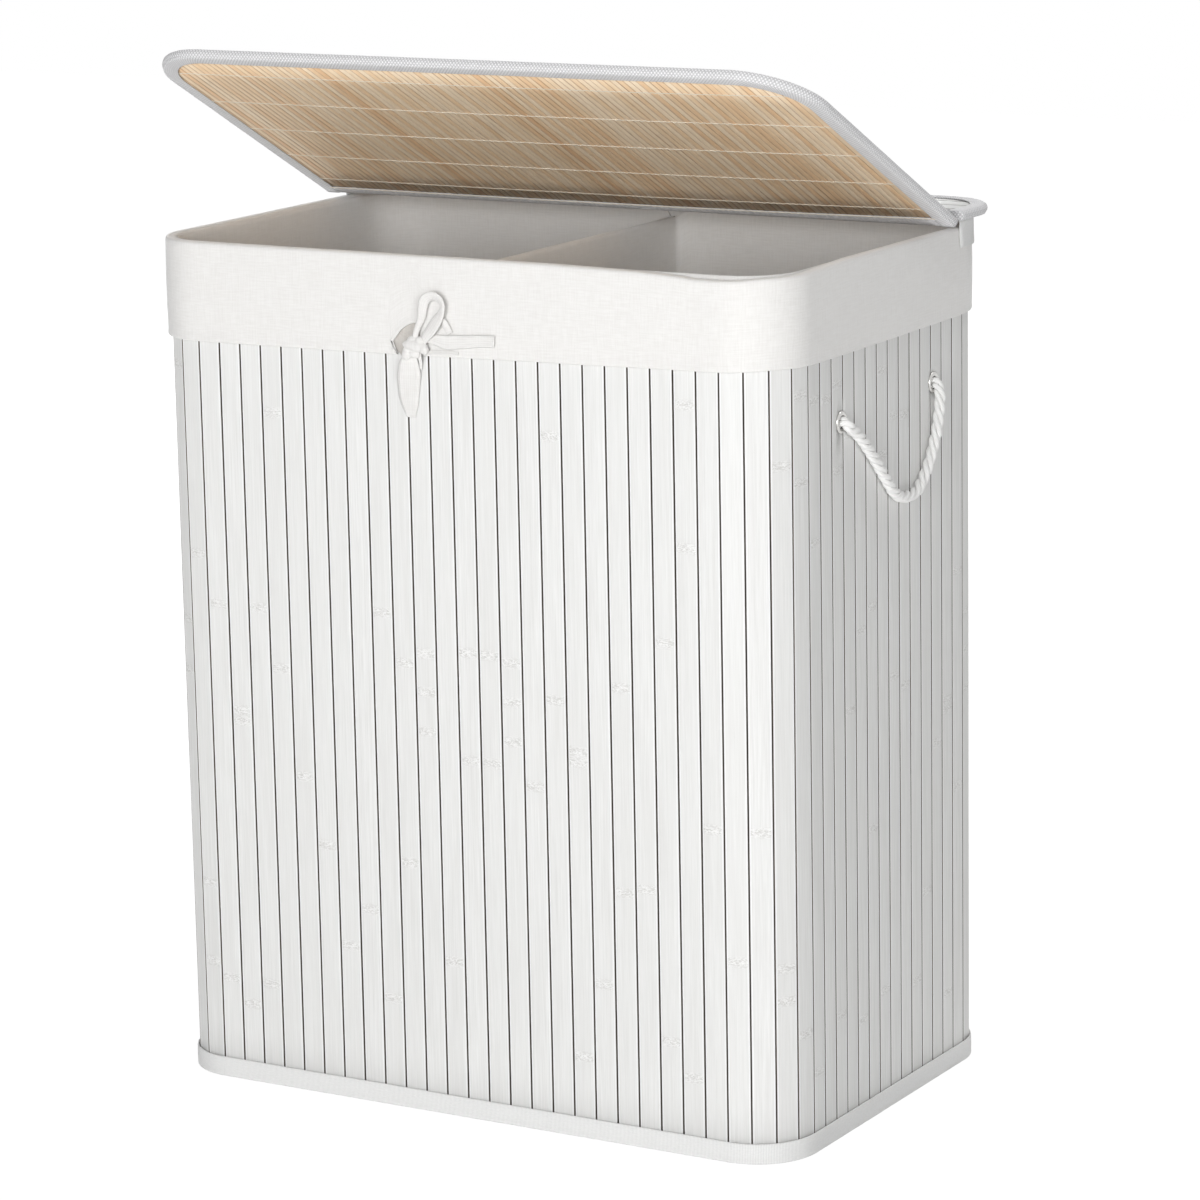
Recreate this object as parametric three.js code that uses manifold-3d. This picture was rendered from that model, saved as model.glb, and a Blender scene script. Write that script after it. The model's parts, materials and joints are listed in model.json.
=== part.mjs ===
// Laundry hamper with two bins: a body of upright bamboo slats on cloth, a hanging cotton liner
// with a divider, a lid that folds up from a fixed rear flap, and a rope handle on each short side.
// Sizes are in millimetres. x runs along the front, y from front to rear and z up, and the origin is
// the middle of the base, on the floor. The lid stands open as it does in use.
import * as THREE from 'three';
import { mergeVertices } from 'three/addons/utils/BufferGeometryUtils.js';
import Module from 'manifold-3d';

const wasm = await Module();
wasm.setup();

// Body: outer faces of the slats, and the top of the cloth on the rim
const bodyWidth = 520;
const bodyDepth = 330;
const rimHeight = 630;
const cornerRadius = 45;

// Slats and the cloth that they are glued to
const slatThickness = 2;
const backingThickness = 1;
const grooveWidth = 0.9;
const frontSlats = 24;
const sideSlats = 14;
const cornerSlats = 4;

// Clearance between pieces that touch, overrun of a cut, and steps round each corner
const seatGap = 0.3;
const cutOverrun = 2;
const cornerSteps = 8;

// Cloth edgings of the slat body
const bindingCloth = 1.2;
const bottomBindingHeight = 15;
const topBindingCloth = 0.9;
const topBindingHeight = 24;

// Base
const baseClothThickness = 1.2;
const baseBoardThickness = 3;
const rodDiameter = 5;
const rodSides = 12;
const rodInsertion = 20;
const socketRoof = 3.4;
const socketReach = 12;

// Cotton liner: turned-down cuff, bins and divider
const linerCloth = 1;
const cuffHeight = 68;
const cuffInnerHeight = 30;
const binRimDrop = 5;
const dividerThickness = 1.2;
const dividerDrop = 10;

// Slit in the cuff's hem, where the tie comes out
const slitCentre = -34;
const slitWidth = 20;
const slitHeight = 22;

// Tie: knot, loop and two tails of flat cotton tape
const tapeThickness = 1;
const tapeWidth = 10;
const knotWidth = 13;
const knotHeight = 11;
const knotThickness = 6;
const knotAboveHem = 4;
const knotPastSlit = 11;
const loopWidth = 25;
const loopHeight = 36;
const loopThickness = 3;
const sideTailLength = 58;
const sideTailRise = 3;
const downTailLength = 46;

// Rope handles, their eyelets and the knots behind the wall
const eyeletBelowRim = 110;
const eyeletSpacing = 144;
const eyeletRise = 6;
const ropeDiameter = 8;
const ropeSides = 8;
const ropeSteps = 16;
const ropePlay = 0.4;
const eyeletMetal = 0.8;
const eyeletFlange = 2.8;
const eyeletLip = 1.2;
const eyeletSides = 20;
const knotLength = 14;
const knotDiameter = 16;
const knotClearance = 0.6;
const knotSteps = 12;

// Lid and rear flap: bound boards of slats over a stiff core and a bamboo mat
const hingeFromRear = 69;
const lidSideOverhang = 10;
const flapSideOverhang = 12;
const lidFrontOverhang = 16;
const flapRearOverhang = 10.5;
const flapRise = 7;
const lidDrop = 5.2;
const lidCornerRadius = 54;
const flapCornerRadius = 50;
const coverSlatThickness = 1.5;
const coverBacking = 0.5;
const coreThickness = 1;
const matThickness = 1.2;
const edgingCloth = 0.8;
const edgingWidth = 12;
const hingeBandWidth = 10;
const hingeEdge = 0.25;
const hingeRise = 0.2;
const lidOpenDegrees = 27.6;

// Cloth skirt that holds the flap to the cuff
const skirtCloth = 1;
const skirtBelowRim = 14;
const skirtSetBack = 12.5;

// What follows from the driving sizes
const wall = slatThickness + backingThickness;
const frontRun = bodyWidth - 2 * cornerRadius;
const sideRun = bodyDepth - 2 * cornerRadius;
const cornerRun = cornerRadius * Math.PI / 2;
const slatPitch = frontRun / frontSlats;
const matBottom = bindingCloth + seatGap;
const matTop = rimHeight - linerCloth - seatGap - topBindingCloth - seatGap;
const topBindingOut = seatGap + topBindingCloth;
const cuffOut = topBindingOut + seatGap + linerCloth;
const cuffIn = wall + topBindingOut + seatGap + linerCloth;
const baseInset = wall + seatGap + bindingCloth + seatGap;
const baseBoardBottom = baseClothThickness + seatGap;
const baseBoardTop = baseBoardBottom + baseBoardThickness;
const lowerRodHeight = baseBoardTop + seatGap + rodDiameter / 2;
const upperRodHeight = lowerRodHeight + rodDiameter + seatGap;
const socketBottom = baseBoardTop + seatGap;
const socketTop = upperRodHeight + rodDiameter / 2 + socketRoof;
const binFloor = socketTop + seatGap;
const binInset = cuffIn + seatGap;
const binTop = rimHeight - binRimDrop;
const eyeletHeight = rimHeight - eyeletBelowRim;
const ropeRadius = ropeDiameter / 2;
const barrelInner = ropeRadius + ropePlay;
const barrelOuter = barrelInner + eyeletMetal;
const eyeletFace = seatGap + eyeletMetal;
const washerInner = wall + seatGap + eyeletMetal;
const lipInner = washerInner + seatGap + eyeletMetal;
const handlePlane = bodyWidth / 2 + eyeletFace + seatGap + ropeRadius;
const lidWidth = bodyWidth + 2 * lidSideOverhang;
const flapWidth = bodyWidth + 2 * flapSideOverhang;
const hingeFromCentre = bodyDepth / 2 - hingeFromRear;
const lidLength = hingeFromCentre + bodyDepth / 2 + lidFrontOverhang;
const flapLength = hingeFromRear + flapRearOverhang;
const coverSheet = coverSlatThickness + coverBacking;
const coverThickness = 2 * edgingCloth + coverSheet + coreThickness + matThickness + 4 * seatGap;
const hingeHeight = rimHeight + flapRise + coverThickness + hingeRise;

const slatWhite = new THREE.MeshStandardMaterial({ color: '#ececec', roughness: 0.6 });
const bamboo = new THREE.MeshStandardMaterial({ color: '#cdb48a', roughness: 0.55 });
const cotton = new THREE.MeshStandardMaterial({ color: '#e6e4e1', roughness: 0.95 });
const edging = new THREE.MeshStandardMaterial({ color: '#cfcdcb', roughness: 0.9 });
const board = new THREE.MeshStandardMaterial({ color: '#9a8468', roughness: 0.85 });
const plastic = new THREE.MeshStandardMaterial({ color: '#bfbfbf', roughness: 0.5 });
const steel = new THREE.MeshStandardMaterial({ color: '#c4c4c4', roughness: 0.3, metalness: 1 });
const rope = new THREE.MeshStandardMaterial({ color: '#efeeec', roughness: 0.9 });

// Scene helpers
function addPiece(parent, name, geometry, material) {
  const mesh = new THREE.Mesh(geometry, material);
  mesh.name = name;
  parent.add(mesh);
  return mesh;
}

function toSolid(geometry) {
  const bare = geometry.clone();
  bare.deleteAttribute('normal');
  bare.deleteAttribute('uv');
  const merged = mergeVertices(bare);
  const vertProperties = new Float32Array(merged.attributes.position.array);
  const triVerts = new Uint32Array(merged.index.array);
  return new wasm.Manifold(new wasm.Mesh({ numProp: 3, vertProperties, triVerts }));
}

function toGeometry(solid) {
  const mesh = solid.getMesh();
  const geometry = new THREE.BufferGeometry();
  geometry.setAttribute('position', new THREE.BufferAttribute(mesh.vertProperties, 3));
  geometry.setIndex(new THREE.BufferAttribute(mesh.triVerts, 1));
  geometry.computeVertexNormals();
  return geometry;
}

function toVectors(points) {
  return points.map(([x, y]) => new THREE.Vector2(x, y));
}

function circlePoints(radius, sides) {
  const points = [];
  for (let side = 0; side < sides; side += 1) {
    const angle = 2 * Math.PI * side / sides;
    points.push(new THREE.Vector2(radius * Math.cos(angle), radius * Math.sin(angle)));
  }
  return points;
}

// An upright prism over a plan outline
function prism(points, bottom, top) {
  const shape = new THREE.Shape(toVectors(points));
  const geometry = new THREE.ExtrudeGeometry(shape, { depth: top - bottom, bevelEnabled: false });
  return geometry.translate(0, 0, bottom);
}

// A bar along x whose section is drawn in y and z
function barAlongX(section, length) {
  const shape = new THREE.Shape(toVectors(section));
  const geometry = new THREE.ExtrudeGeometry(shape, { depth: length, bevelEnabled: false });
  geometry.translate(0, 0, -length / 2);
  return geometry.applyMatrix4(new THREE.Matrix4().set(0, 0, 1, 0, 1, 0, 0, 0, 0, 1, 0, 0, 0, 0, 0, 1));
}

// Places round a rounded rectangle, anticlockwise seen from above, each with its outward normal
function cornerPlaces(centreX, centreY, radius, quarter) {
  const places = [];
  for (let step = 0; step <= cornerSteps; step += 1) {
    const angle = (quarter + step / cornerSteps) * Math.PI / 2;
    const nx = Math.cos(angle);
    const ny = Math.sin(angle);
    places.push({ x: centreX + radius * nx, y: centreY + radius * ny, nx, ny });
  }
  return places;
}

function roundedPlaces(width, depth, radius) {
  const cx = width / 2 - radius;
  const cy = depth / 2 - radius;
  return [
    ...cornerPlaces(cx, -cy, radius, 3),
    ...cornerPlaces(cx, cy, radius, 0),
    ...cornerPlaces(-cx, cy, radius, 1),
    ...cornerPlaces(-cx, -cy, radius, 2),
  ];
}

// The same outline, open to the front: right side, rear corners and left side
function rearPlaces(width, depth, radius, startY) {
  const cx = width / 2 - radius;
  const cy = depth - radius;
  return [
    { x: width / 2, y: startY, nx: 1, ny: 0 },
    ...cornerPlaces(cx, cy, radius, 0),
    ...cornerPlaces(-cx, cy, radius, 1),
    { x: -width / 2, y: startY, nx: -1, ny: 0 },
  ];
}

function planOf(places, outward) {
  return places.map((place) => [place.x + outward * place.nx, place.y + outward * place.ny]);
}

// Sweeps a section, drawn as outward distance and height, along places; a closed run joins its ends
function sweep(places, section, closed) {
  const outline = toVectors(section);
  if (THREE.ShapeUtils.area(outline) < 0) outline.reverse();
  const count = outline.length;
  const position = [];
  for (const place of places) {
    for (const point of outline) {
      position.push(place.x + point.x * place.nx, place.y + point.x * place.ny, point.y);
    }
  }
  const index = [];
  const runs = closed ? places.length : places.length - 1;
  for (let run = 0; run < runs; run += 1) {
    const here = run * count;
    const next = ((run + 1) % places.length) * count;
    for (let side = 0; side < count; side += 1) {
      const other = (side + 1) % count;
      index.push(here + side, next + side, here + other);
      index.push(next + side, next + other, here + other);
    }
  }
  if (!closed) {
    const last = (places.length - 1) * count;
    for (const [a, b, c] of THREE.ShapeUtils.triangulateShape(outline, [])) {
      index.push(a, b, c);
      index.push(last + a, last + c, last + b);
    }
  }
  const geometry = new THREE.BufferGeometry();
  geometry.setAttribute('position', new THREE.Float32BufferAttribute(position, 3));
  geometry.setIndex(index);
  geometry.computeVertexNormals();
  return geometry;
}

// Slat body: one run of the outline, as a start place with its direction, or as an arc of a corner
function runPoint(run, distance, outward) {
  if (run.radius) {
    const angle = run.startAngle + distance / run.radius;
    const reach = run.radius + outward;
    return [run.x + reach * Math.cos(angle), run.y + reach * Math.sin(angle)];
  }
  const [dx, dy] = run.direction;
  return [run.x + distance * dx + outward * dy, run.y + distance * dy - outward * dx];
}

function slatPlan(run) {
  const pitch = run.length / run.slats;
  const points = [runPoint(run, seatGap / 2, -slatThickness)];
  for (let slat = 0; slat < run.slats; slat += 1) {
    const start = slat * pitch + grooveWidth / 2;
    const end = (slat + 1) * pitch - grooveWidth / 2;
    points.push(runPoint(run, start, -slatThickness), runPoint(run, start, 0));
    points.push(runPoint(run, end, 0), runPoint(run, end, -slatThickness));
  }
  points.push(runPoint(run, run.length - seatGap / 2, -slatThickness));
  points.push(runPoint(run, run.length - seatGap / 2, -wall));
  for (let step = cornerSteps - 1; run.radius && step > 0; step -= 1) {
    points.push(runPoint(run, run.length * step / cornerSteps, -wall));
  }
  points.push(runPoint(run, seatGap / 2, -wall));
  return points;
}

function buildSlatBody(hamper) {
  const halfWidth = bodyWidth / 2;
  const halfDepth = bodyDepth / 2;
  const cx = halfWidth - cornerRadius;
  const cy = halfDepth - cornerRadius;
  const front = { length: frontRun, slats: frontSlats };
  const side = { length: sideRun, slats: sideSlats };
  const corner = { length: cornerRun, slats: cornerSlats, radius: cornerRadius };
  const runs = {
    front_slat_panel: { ...front, x: -cx, y: -halfDepth, direction: [1, 0] },
    front_right_corner_slats: { ...corner, x: cx, y: -cy, startAngle: -Math.PI / 2 },
    right_slat_panel: { ...side, x: halfWidth, y: -cy, direction: [0, 1] },
    rear_right_corner_slats: { ...corner, x: cx, y: cy, startAngle: 0 },
    rear_slat_panel: { ...front, x: cx, y: halfDepth, direction: [-1, 0] },
    rear_left_corner_slats: { ...corner, x: -cx, y: cy, startAngle: Math.PI / 2 },
    left_slat_panel: { ...side, x: -halfWidth, y: cy, direction: [0, -1] },
    front_left_corner_slats: { ...corner, x: -cx, y: -cy, startAngle: Math.PI },
  };
  for (const [name, run] of Object.entries(runs)) {
    let geometry = prism(slatPlan(run), matBottom, matTop);
    if (name === 'right_slat_panel' || name === 'left_slat_panel') {
      let solid = toSolid(geometry);
      for (const end of [-1, 1]) solid = solid.subtract(eyeletHole(run.x, end));
      geometry = toGeometry(solid);
    }
    addPiece(hamper, name, geometry, slatWhite);
  }
}

function eyeletHole(x, end) {
  const length = 2 * (wall + cutOverrun);
  const radius = barrelOuter + seatGap;
  const hole = new THREE.CylinderGeometry(radius, radius, length, eyeletSides);
  hole.rotateZ(Math.PI / 2).translate(x, end * eyeletSpacing / 2, heightOfEyelet(end));
  return toSolid(hole);
}

// Cloth edgings: a channel over each edge of the slats
function buildEdgings(hamper) {
  const outline = roundedPlaces(bodyWidth, bodyDepth, cornerRadius);
  const outer = seatGap + bindingCloth;
  const inner = -wall - outer;
  const bottomChannel = [
    [outer, 0], [outer, bottomBindingHeight], [seatGap, bottomBindingHeight], [seatGap, bindingCloth],
    [-wall - seatGap, bindingCloth], [-wall - seatGap, bottomBindingHeight],
    [inner, bottomBindingHeight], [inner, 0],
  ];
  addPiece(hamper, 'bottom_binding', sweep(outline, bottomChannel, true), edging);
  const top = matTop + seatGap + topBindingCloth;
  const foot = top - topBindingHeight;
  const topChannel = [
    [topBindingOut, foot], [topBindingOut, top], [-wall - topBindingOut, top],
    [-wall - topBindingOut, foot], [-wall - seatGap, foot], [-wall - seatGap, top - topBindingCloth],
    [seatGap, top - topBindingCloth], [seatGap, foot],
  ];
  addPiece(hamper, 'top_binding', sweep(outline, topChannel, true), edging);
}

// Base: cloth, board, and two crossed rods in corner sockets
function buildBase(hamper) {
  const plan = planOf(roundedPlaces(bodyWidth, bodyDepth, cornerRadius), -baseInset);
  addPiece(hamper, 'base_cloth', prism(plan, 0, baseClothThickness), edging);
  addPiece(hamper, 'base_board', prism(plan, baseBoardBottom, baseBoardTop), board);
  const cx = bodyWidth / 2 - cornerRadius;
  const cy = bodyDepth / 2 - cornerRadius;
  const rodAngle = Math.atan2(cy, cx);
  const rodHalf = Math.hypot(cx, cy) + rodInsertion;
  const rods = {
    lower_cross_rod: { height: lowerRodHeight, turn: 1 },
    upper_cross_rod: { height: upperRodHeight, turn: -1 },
  };
  const rodRadius = rodDiameter / 2;
  for (const [name, { height, turn }] of Object.entries(rods)) {
    const geometry = new THREE.CylinderGeometry(rodRadius, rodRadius, 2 * rodHalf, rodSides);
    geometry.rotateZ(Math.PI / 2).rotateZ(turn * rodAngle).translate(0, 0, height);
    addPiece(hamper, name, geometry, steel);
  }
  const bore = rodRadius + seatGap;
  const sockets = {
    front_right_rod_socket: { sx: 1, sy: -1, height: upperRodHeight },
    rear_right_rod_socket: { sx: 1, sy: 1, height: lowerRodHeight },
    rear_left_rod_socket: { sx: -1, sy: 1, height: upperRodHeight },
    front_left_rod_socket: { sx: -1, sy: -1, height: lowerRodHeight },
  };
  const radius = cornerRadius - baseInset;
  const block = [
    [cx - socketReach, cy - socketReach], [cx + radius, cy - socketReach],
    ...planOf(cornerPlaces(cx, cy, radius, 0), 0), [cx - socketReach, cy + radius],
  ];
  for (const [name, { sx, sy, height }] of Object.entries(sockets)) {
    const outline = block.map(([x, y]) => [sx * x, sy * y]);
    const hole = new THREE.CylinderGeometry(bore, bore, 2 * (rodHalf + seatGap), rodSides);
    hole.rotateZ(Math.PI / 2).rotateZ(sx * sy * rodAngle).translate(0, 0, height);
    const solid = toSolid(prism(outline, socketBottom, socketTop)).subtract(toSolid(hole));
    addPiece(hamper, name, toGeometry(solid), plastic);
  }
}

// Liner: the cuff turns over the rim, and the bins hang inside it on both sides of the divider
function buildLiner(hamper) {
  const outline = roundedPlaces(bodyWidth, bodyDepth, cornerRadius);
  const hem = rimHeight - cuffHeight;
  const innerHem = rimHeight - cuffInnerHeight;
  const cuffSection = [
    [cuffOut, hem], [cuffOut, rimHeight], [-cuffIn, rimHeight], [-cuffIn, innerHem],
    [linerCloth - cuffIn, innerHem], [linerCloth - cuffIn, rimHeight - linerCloth],
    [cuffOut - linerCloth, rimHeight - linerCloth], [cuffOut - linerCloth, hem],
  ];
  const slitHalf = slitWidth / 2;
  const slitFoot = hem - cutOverrun;
  const slitPlan = [
    [slitCentre - slitHalf, slitFoot], [slitCentre + slitHalf, slitFoot],
    [slitCentre + slitHalf / 2, hem + slitHeight], [slitCentre, hem + slitHeight],
  ];
  const slit = prism(slitPlan, 0, linerCloth + 2 * cutOverrun).rotateX(Math.PI / 2);
  slit.translate(0, -bodyDepth / 2 - cuffOut + linerCloth + cutOverrun, 0);
  const cuff = toSolid(sweep(outline, cuffSection, true)).subtract(toSolid(slit));
  addPiece(hamper, 'liner_cuff', toGeometry(cuff), cotton);
  addPiece(hamper, 'right_bin_liner', binGeometry(1), cotton);
  addPiece(hamper, 'left_bin_liner', binGeometry(-1), cotton);
  const reach = bodyDepth - 2 * binInset;
  const divider = new THREE.BoxGeometry(dividerThickness, reach, rimHeight - dividerDrop - binFloor);
  divider.translate(0, 0, (rimHeight - dividerDrop + binFloor) / 2);
  addPiece(hamper, 'bin_divider', divider, cotton);
}

function binPlan(side, inset, start) {
  const right = roundedPlaces(bodyWidth, bodyDepth, cornerRadius).slice(0, 2 * (cornerSteps + 1));
  const half = bodyDepth / 2 - inset;
  const points = [[start, -half], ...planOf(right, -inset), [start, half]];
  return points.map(([x, y]) => [side * x, y]);
}

function binGeometry(side) {
  const start = dividerThickness / 2 + seatGap;
  let outside = toSolid(prism(binPlan(side, binInset, start), binFloor, binTop));
  const inset = binInset + linerCloth;
  const insidePlan = binPlan(side, inset, start - cutOverrun);
  let inside = toSolid(prism(insidePlan, binFloor + linerCloth, binTop + cutOverrun));
  for (const end of [-1, 1]) {
    outside = outside.subtract(knotSolid(side, end, knotClearance));
    inside = inside.subtract(knotSolid(side, end, knotClearance + linerCloth));
  }
  return toGeometry(outside.subtract(inside));
}

// Handles: eyelets with washers, knots behind the wall, and a swinging rope on each short side
function heightOfEyelet(end) {
  return eyeletHeight + end * eyeletRise / 2;
}

function knotSolid(side, end, extra) {
  const ball = new THREE.SphereGeometry(1, knotSteps, knotSteps / 2);
  const across = knotDiameter / 2 + extra;
  ball.scale(knotLength / 2 + extra, across, across);
  const reach = lipInner + seatGap + knotLength / 2;
  const stubLength = reach + eyeletFace;
  const stubRadius = ropeRadius + extra;
  const stub = new THREE.CylinderGeometry(stubRadius, stubRadius, stubLength, ropeSides);
  stub.rotateZ(Math.PI / 2).translate(side * stubLength / 2, 0, 0);
  const x = bodyWidth / 2 - reach;
  const place = [side * x, end * eyeletSpacing / 2, heightOfEyelet(end)];
  return toSolid(ball).add(toSolid(stub)).translate(...place);
}

function ringAlongX(profile, side, end) {
  const closed = [...profile, profile[0]];
  const geometry = new THREE.LatheGeometry(toVectors(closed), eyeletSides);
  geometry.rotateZ(-Math.PI / 2);
  if (side < 0) geometry.rotateY(Math.PI);
  const x = side * bodyWidth / 2;
  return geometry.translate(x, end * eyeletSpacing / 2, heightOfEyelet(end));
}

function buildEyelet(hamper, side, end, place) {
  const flange = barrelOuter + eyeletFlange;
  const lip = barrelOuter + eyeletLip;
  const eyeletProfile = [
    [barrelInner, -lipInner], [lip, -lipInner], [lip, -lipInner + eyeletMetal],
    [barrelOuter, -lipInner + eyeletMetal], [barrelOuter, seatGap], [flange, seatGap],
    [flange, eyeletFace], [barrelInner, eyeletFace],
  ];
  addPiece(hamper, `${place}_eyelet`, ringAlongX(eyeletProfile, side, end), steel);
  const hole = barrelOuter + seatGap;
  const washerProfile = [
    [hole, -washerInner], [flange, -washerInner], [flange, eyeletMetal - washerInner],
    [hole, eyeletMetal - washerInner],
  ];
  addPiece(hamper, `${place}_eyelet_washer`, ringAlongX(washerProfile, side, end), steel);
  addPiece(hamper, `${place}_rope_knot`, toGeometry(knotSolid(side, end, 0)), rope);
}

// The rope's route, as places along the wall and heights under the line between its eyelets
const ropeRoute = [
  [-72, 0], [-68, -4.5], [-60, -9], [-50, -16.5], [-40, -25.5], [-28, -37], [-15, -50.5], [0, -65],
  [12, -70.5], [24, -72], [36, -70.5], [46, -63.5], [55, -54], [62, -43.5], [68.5, -30], [72.5, -15],
  [72, 0],
];

function buildHandle(parent, side, name) {
  const scale = eyeletSpacing / (ropeRoute.at(-1)[0] - ropeRoute[0][0]);
  const slope = eyeletRise / eyeletSpacing;
  const points = ropeRoute.map(([y, z]) => new THREE.Vector3(0, scale * y, scale * (z + slope * y)));
  const curve = new THREE.CatmullRomCurve3(points);
  const section = new THREE.Shape(circlePoints(ropeRadius, ropeSides));
  const options = { steps: ropeSteps, extrudePath: curve };
  let solid = toSolid(new THREE.ExtrudeGeometry(section, options));
  for (const end of [points[0], points.at(-1)]) {
    const ball = new THREE.SphereGeometry(ropeRadius, ropeSides, ropeSides / 2);
    solid = solid.add(toSolid(ball.translate(end.x, end.y, end.z)));
  }
  const mesh = addPiece(parent, name, toGeometry(solid), rope);
  mesh.position.set(side * handlePlane, 0, eyeletHeight);
}

function buildHandles(hamper) {
  const places = {
    right_front: [1, -1], right_rear: [1, 1], left_front: [-1, -1], left_rear: [-1, 1],
  };
  for (const [place, [side, end]] of Object.entries(places)) buildEyelet(hamper, side, end, place);
  buildHandle(hamper, 1, 'right_handle_rope');
  buildHandle(hamper, -1, 'left_handle_rope');
}

// Tie: the knot lies beside the slit, its loop stands on the cuff and its tails lie flat
function buildTie(hamper) {
  const face = -bodyDepth / 2 - cuffOut - seatGap;
  const knotX = slitCentre + knotPastSlit;
  const knotZ = rimHeight - cuffHeight + knotAboveHem;
  const knotBody = new THREE.SphereGeometry(1, knotSteps, knotSteps / 2);
  knotBody.scale(knotWidth / 2, knotThickness / 2, knotHeight / 2);
  knotBody.translate(knotX, face - knotThickness / 2, knotZ);
  addPiece(hamper, 'tie_knot', knotBody, cotton);
  const lean = loopWidth / 2;
  const tapeHalf = tapeWidth / 2;
  const loop = new THREE.Path().bezierCurveTo(-lean, lean, 0, loopHeight, lean, loopHeight);
  loop.bezierCurveTo(2 * lean, loopHeight, 2 * lean, lean, 0, 0);
  const eyeFoot = [tapeHalf / 2, tapeHalf + lean / 2];
  const eyeTop = [lean, loopHeight - tapeHalf];
  const eye = new THREE.Path().moveTo(...eyeFoot);
  eye.bezierCurveTo(0, lean, lean / 2, loopHeight - tapeHalf, ...eyeTop);
  eye.bezierCurveTo(2 * lean - tapeHalf, eyeTop[1], lean + tapeHalf / 2, lean, ...eyeFoot);
  const loopShape = new THREE.Shape(loop.getPoints(knotSteps).slice(1));
  loopShape.holes.push(new THREE.Path(eye.getPoints(knotSteps).slice(1).reverse()));
  const loopOptions = { depth: loopThickness, bevelEnabled: false };
  const loopBody = new THREE.ExtrudeGeometry(loopShape, loopOptions).rotateX(Math.PI / 2);
  loopBody.translate(knotX, face, knotZ + knotHeight / 2 + seatGap);
  addPiece(hamper, 'tie_loop', loopBody, cotton);
  const sideTail = [
    [0, -tapeHalf], [sideTailLength, sideTailRise - tapeHalf],
    [sideTailLength, sideTailRise + tapeHalf], [sideTailLength / 2, tapeHalf], [0, tapeHalf],
  ];
  const sideBody = prism(sideTail, 0, tapeThickness).rotateX(Math.PI / 2);
  sideBody.translate(knotX + knotWidth / 2 + seatGap, face, knotZ);
  addPiece(hamper, 'tie_side_tail', sideBody, cotton);
  const downTail = [
    [-tapeHalf, 0], [-tapeHalf / 2, -downTailLength], [tapeHalf / 2, -downTailLength],
    [tapeHalf, 0],
  ];
  const downBody = prism(downTail, 0, tapeThickness).rotateX(Math.PI / 2);
  const downFace = face - knotThickness / 2 + tapeThickness / 2;
  downBody.translate(knotX, downFace, knotZ - knotHeight / 2 - seatGap);
  addPiece(hamper, 'tie_down_tail', downBody, cotton);
}

// A cover board, drawn from the hinge line towards the rear, with its top just under that line,
// or on a web of its hinge band further below it
function buildCover(parent, name, width, length, radius, web) {
  const top = -hingeRise;
  const sheetTop = top - edgingCloth - seatGap;
  const sheetBottom = sheetTop - coverSheet;
  const coreBottom = sheetBottom - seatGap - coreThickness;
  const matUnder = coreBottom - seatGap - matThickness;
  const bottom = matUnder - seatGap - edgingCloth;
  const edgeInset = edgingCloth + seatGap;
  const boardStart = hingeEdge + edgeInset;
  const outline = rearPlaces(width, length, radius, hingeEdge);
  const boardPlan = planOf(rearPlaces(width, length, radius, boardStart), -edgeInset);
  const coverSlats = Math.round((length - boardStart) / slatPitch);
  const pitch = (length - edgeInset - boardStart) / coverSlats;
  const grooveFloor = sheetBottom + coverBacking;
  const section = [[boardStart - cutOverrun, sheetBottom], [boardStart - cutOverrun, sheetTop]];
  for (let slat = 1; slat < coverSlats; slat += 1) {
    const groove = boardStart + slat * pitch;
    const near = groove - grooveWidth / 2;
    const far = groove + grooveWidth / 2;
    section.push([near, sheetTop], [near, grooveFloor], [far, grooveFloor], [far, sheetTop]);
  }
  section.push([length + cutOverrun, sheetTop], [length + cutOverrun, sheetBottom]);
  const sheet = toSolid(barAlongX(section, width + 2 * cutOverrun));
  const plan = toSolid(prism(boardPlan, sheetBottom - cutOverrun, sheetTop + cutOverrun));
  addPiece(parent, `${name}_slat_sheet`, toGeometry(sheet.intersect(plan)), slatWhite);
  addPiece(parent, `${name}_core_board`, prism(boardPlan, coreBottom, coreBottom + coreThickness), board);
  addPiece(parent, `${name}_bamboo_mat`, prism(boardPlan, matUnder, matUnder + matThickness), bamboo);
  const edgingSection = [
    [0, bottom], [0, top], [-edgingWidth, top], [-edgingWidth, top - edgingCloth],
    [-edgingCloth, top - edgingCloth], [-edgingCloth, bottom + edgingCloth],
    [-edgingWidth, bottom + edgingCloth], [-edgingWidth, bottom],
  ];
  addPiece(parent, `${name}_edging`, sweep(outline, edgingSection, false), edging);
  const bandEnd = hingeEdge + hingeBandWidth;
  const inner = hingeEdge + edgingCloth;
  const band = [
    [hingeEdge, bottom], [bandEnd, bottom], [bandEnd, bottom + edgingCloth], [inner, bottom + edgingCloth],
    [inner, top - edgingCloth], [bandEnd, top - edgingCloth], [bandEnd, top],
  ];
  if (web > 0) band.push([inner, top], [inner, top + web]);
  band.push([hingeEdge, top + web]);
  const bandLength = width - 2 * (edgingWidth + seatGap);
  addPiece(parent, `${name}_hinge_band`, barAlongX(band, bandLength), edging);
}

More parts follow.
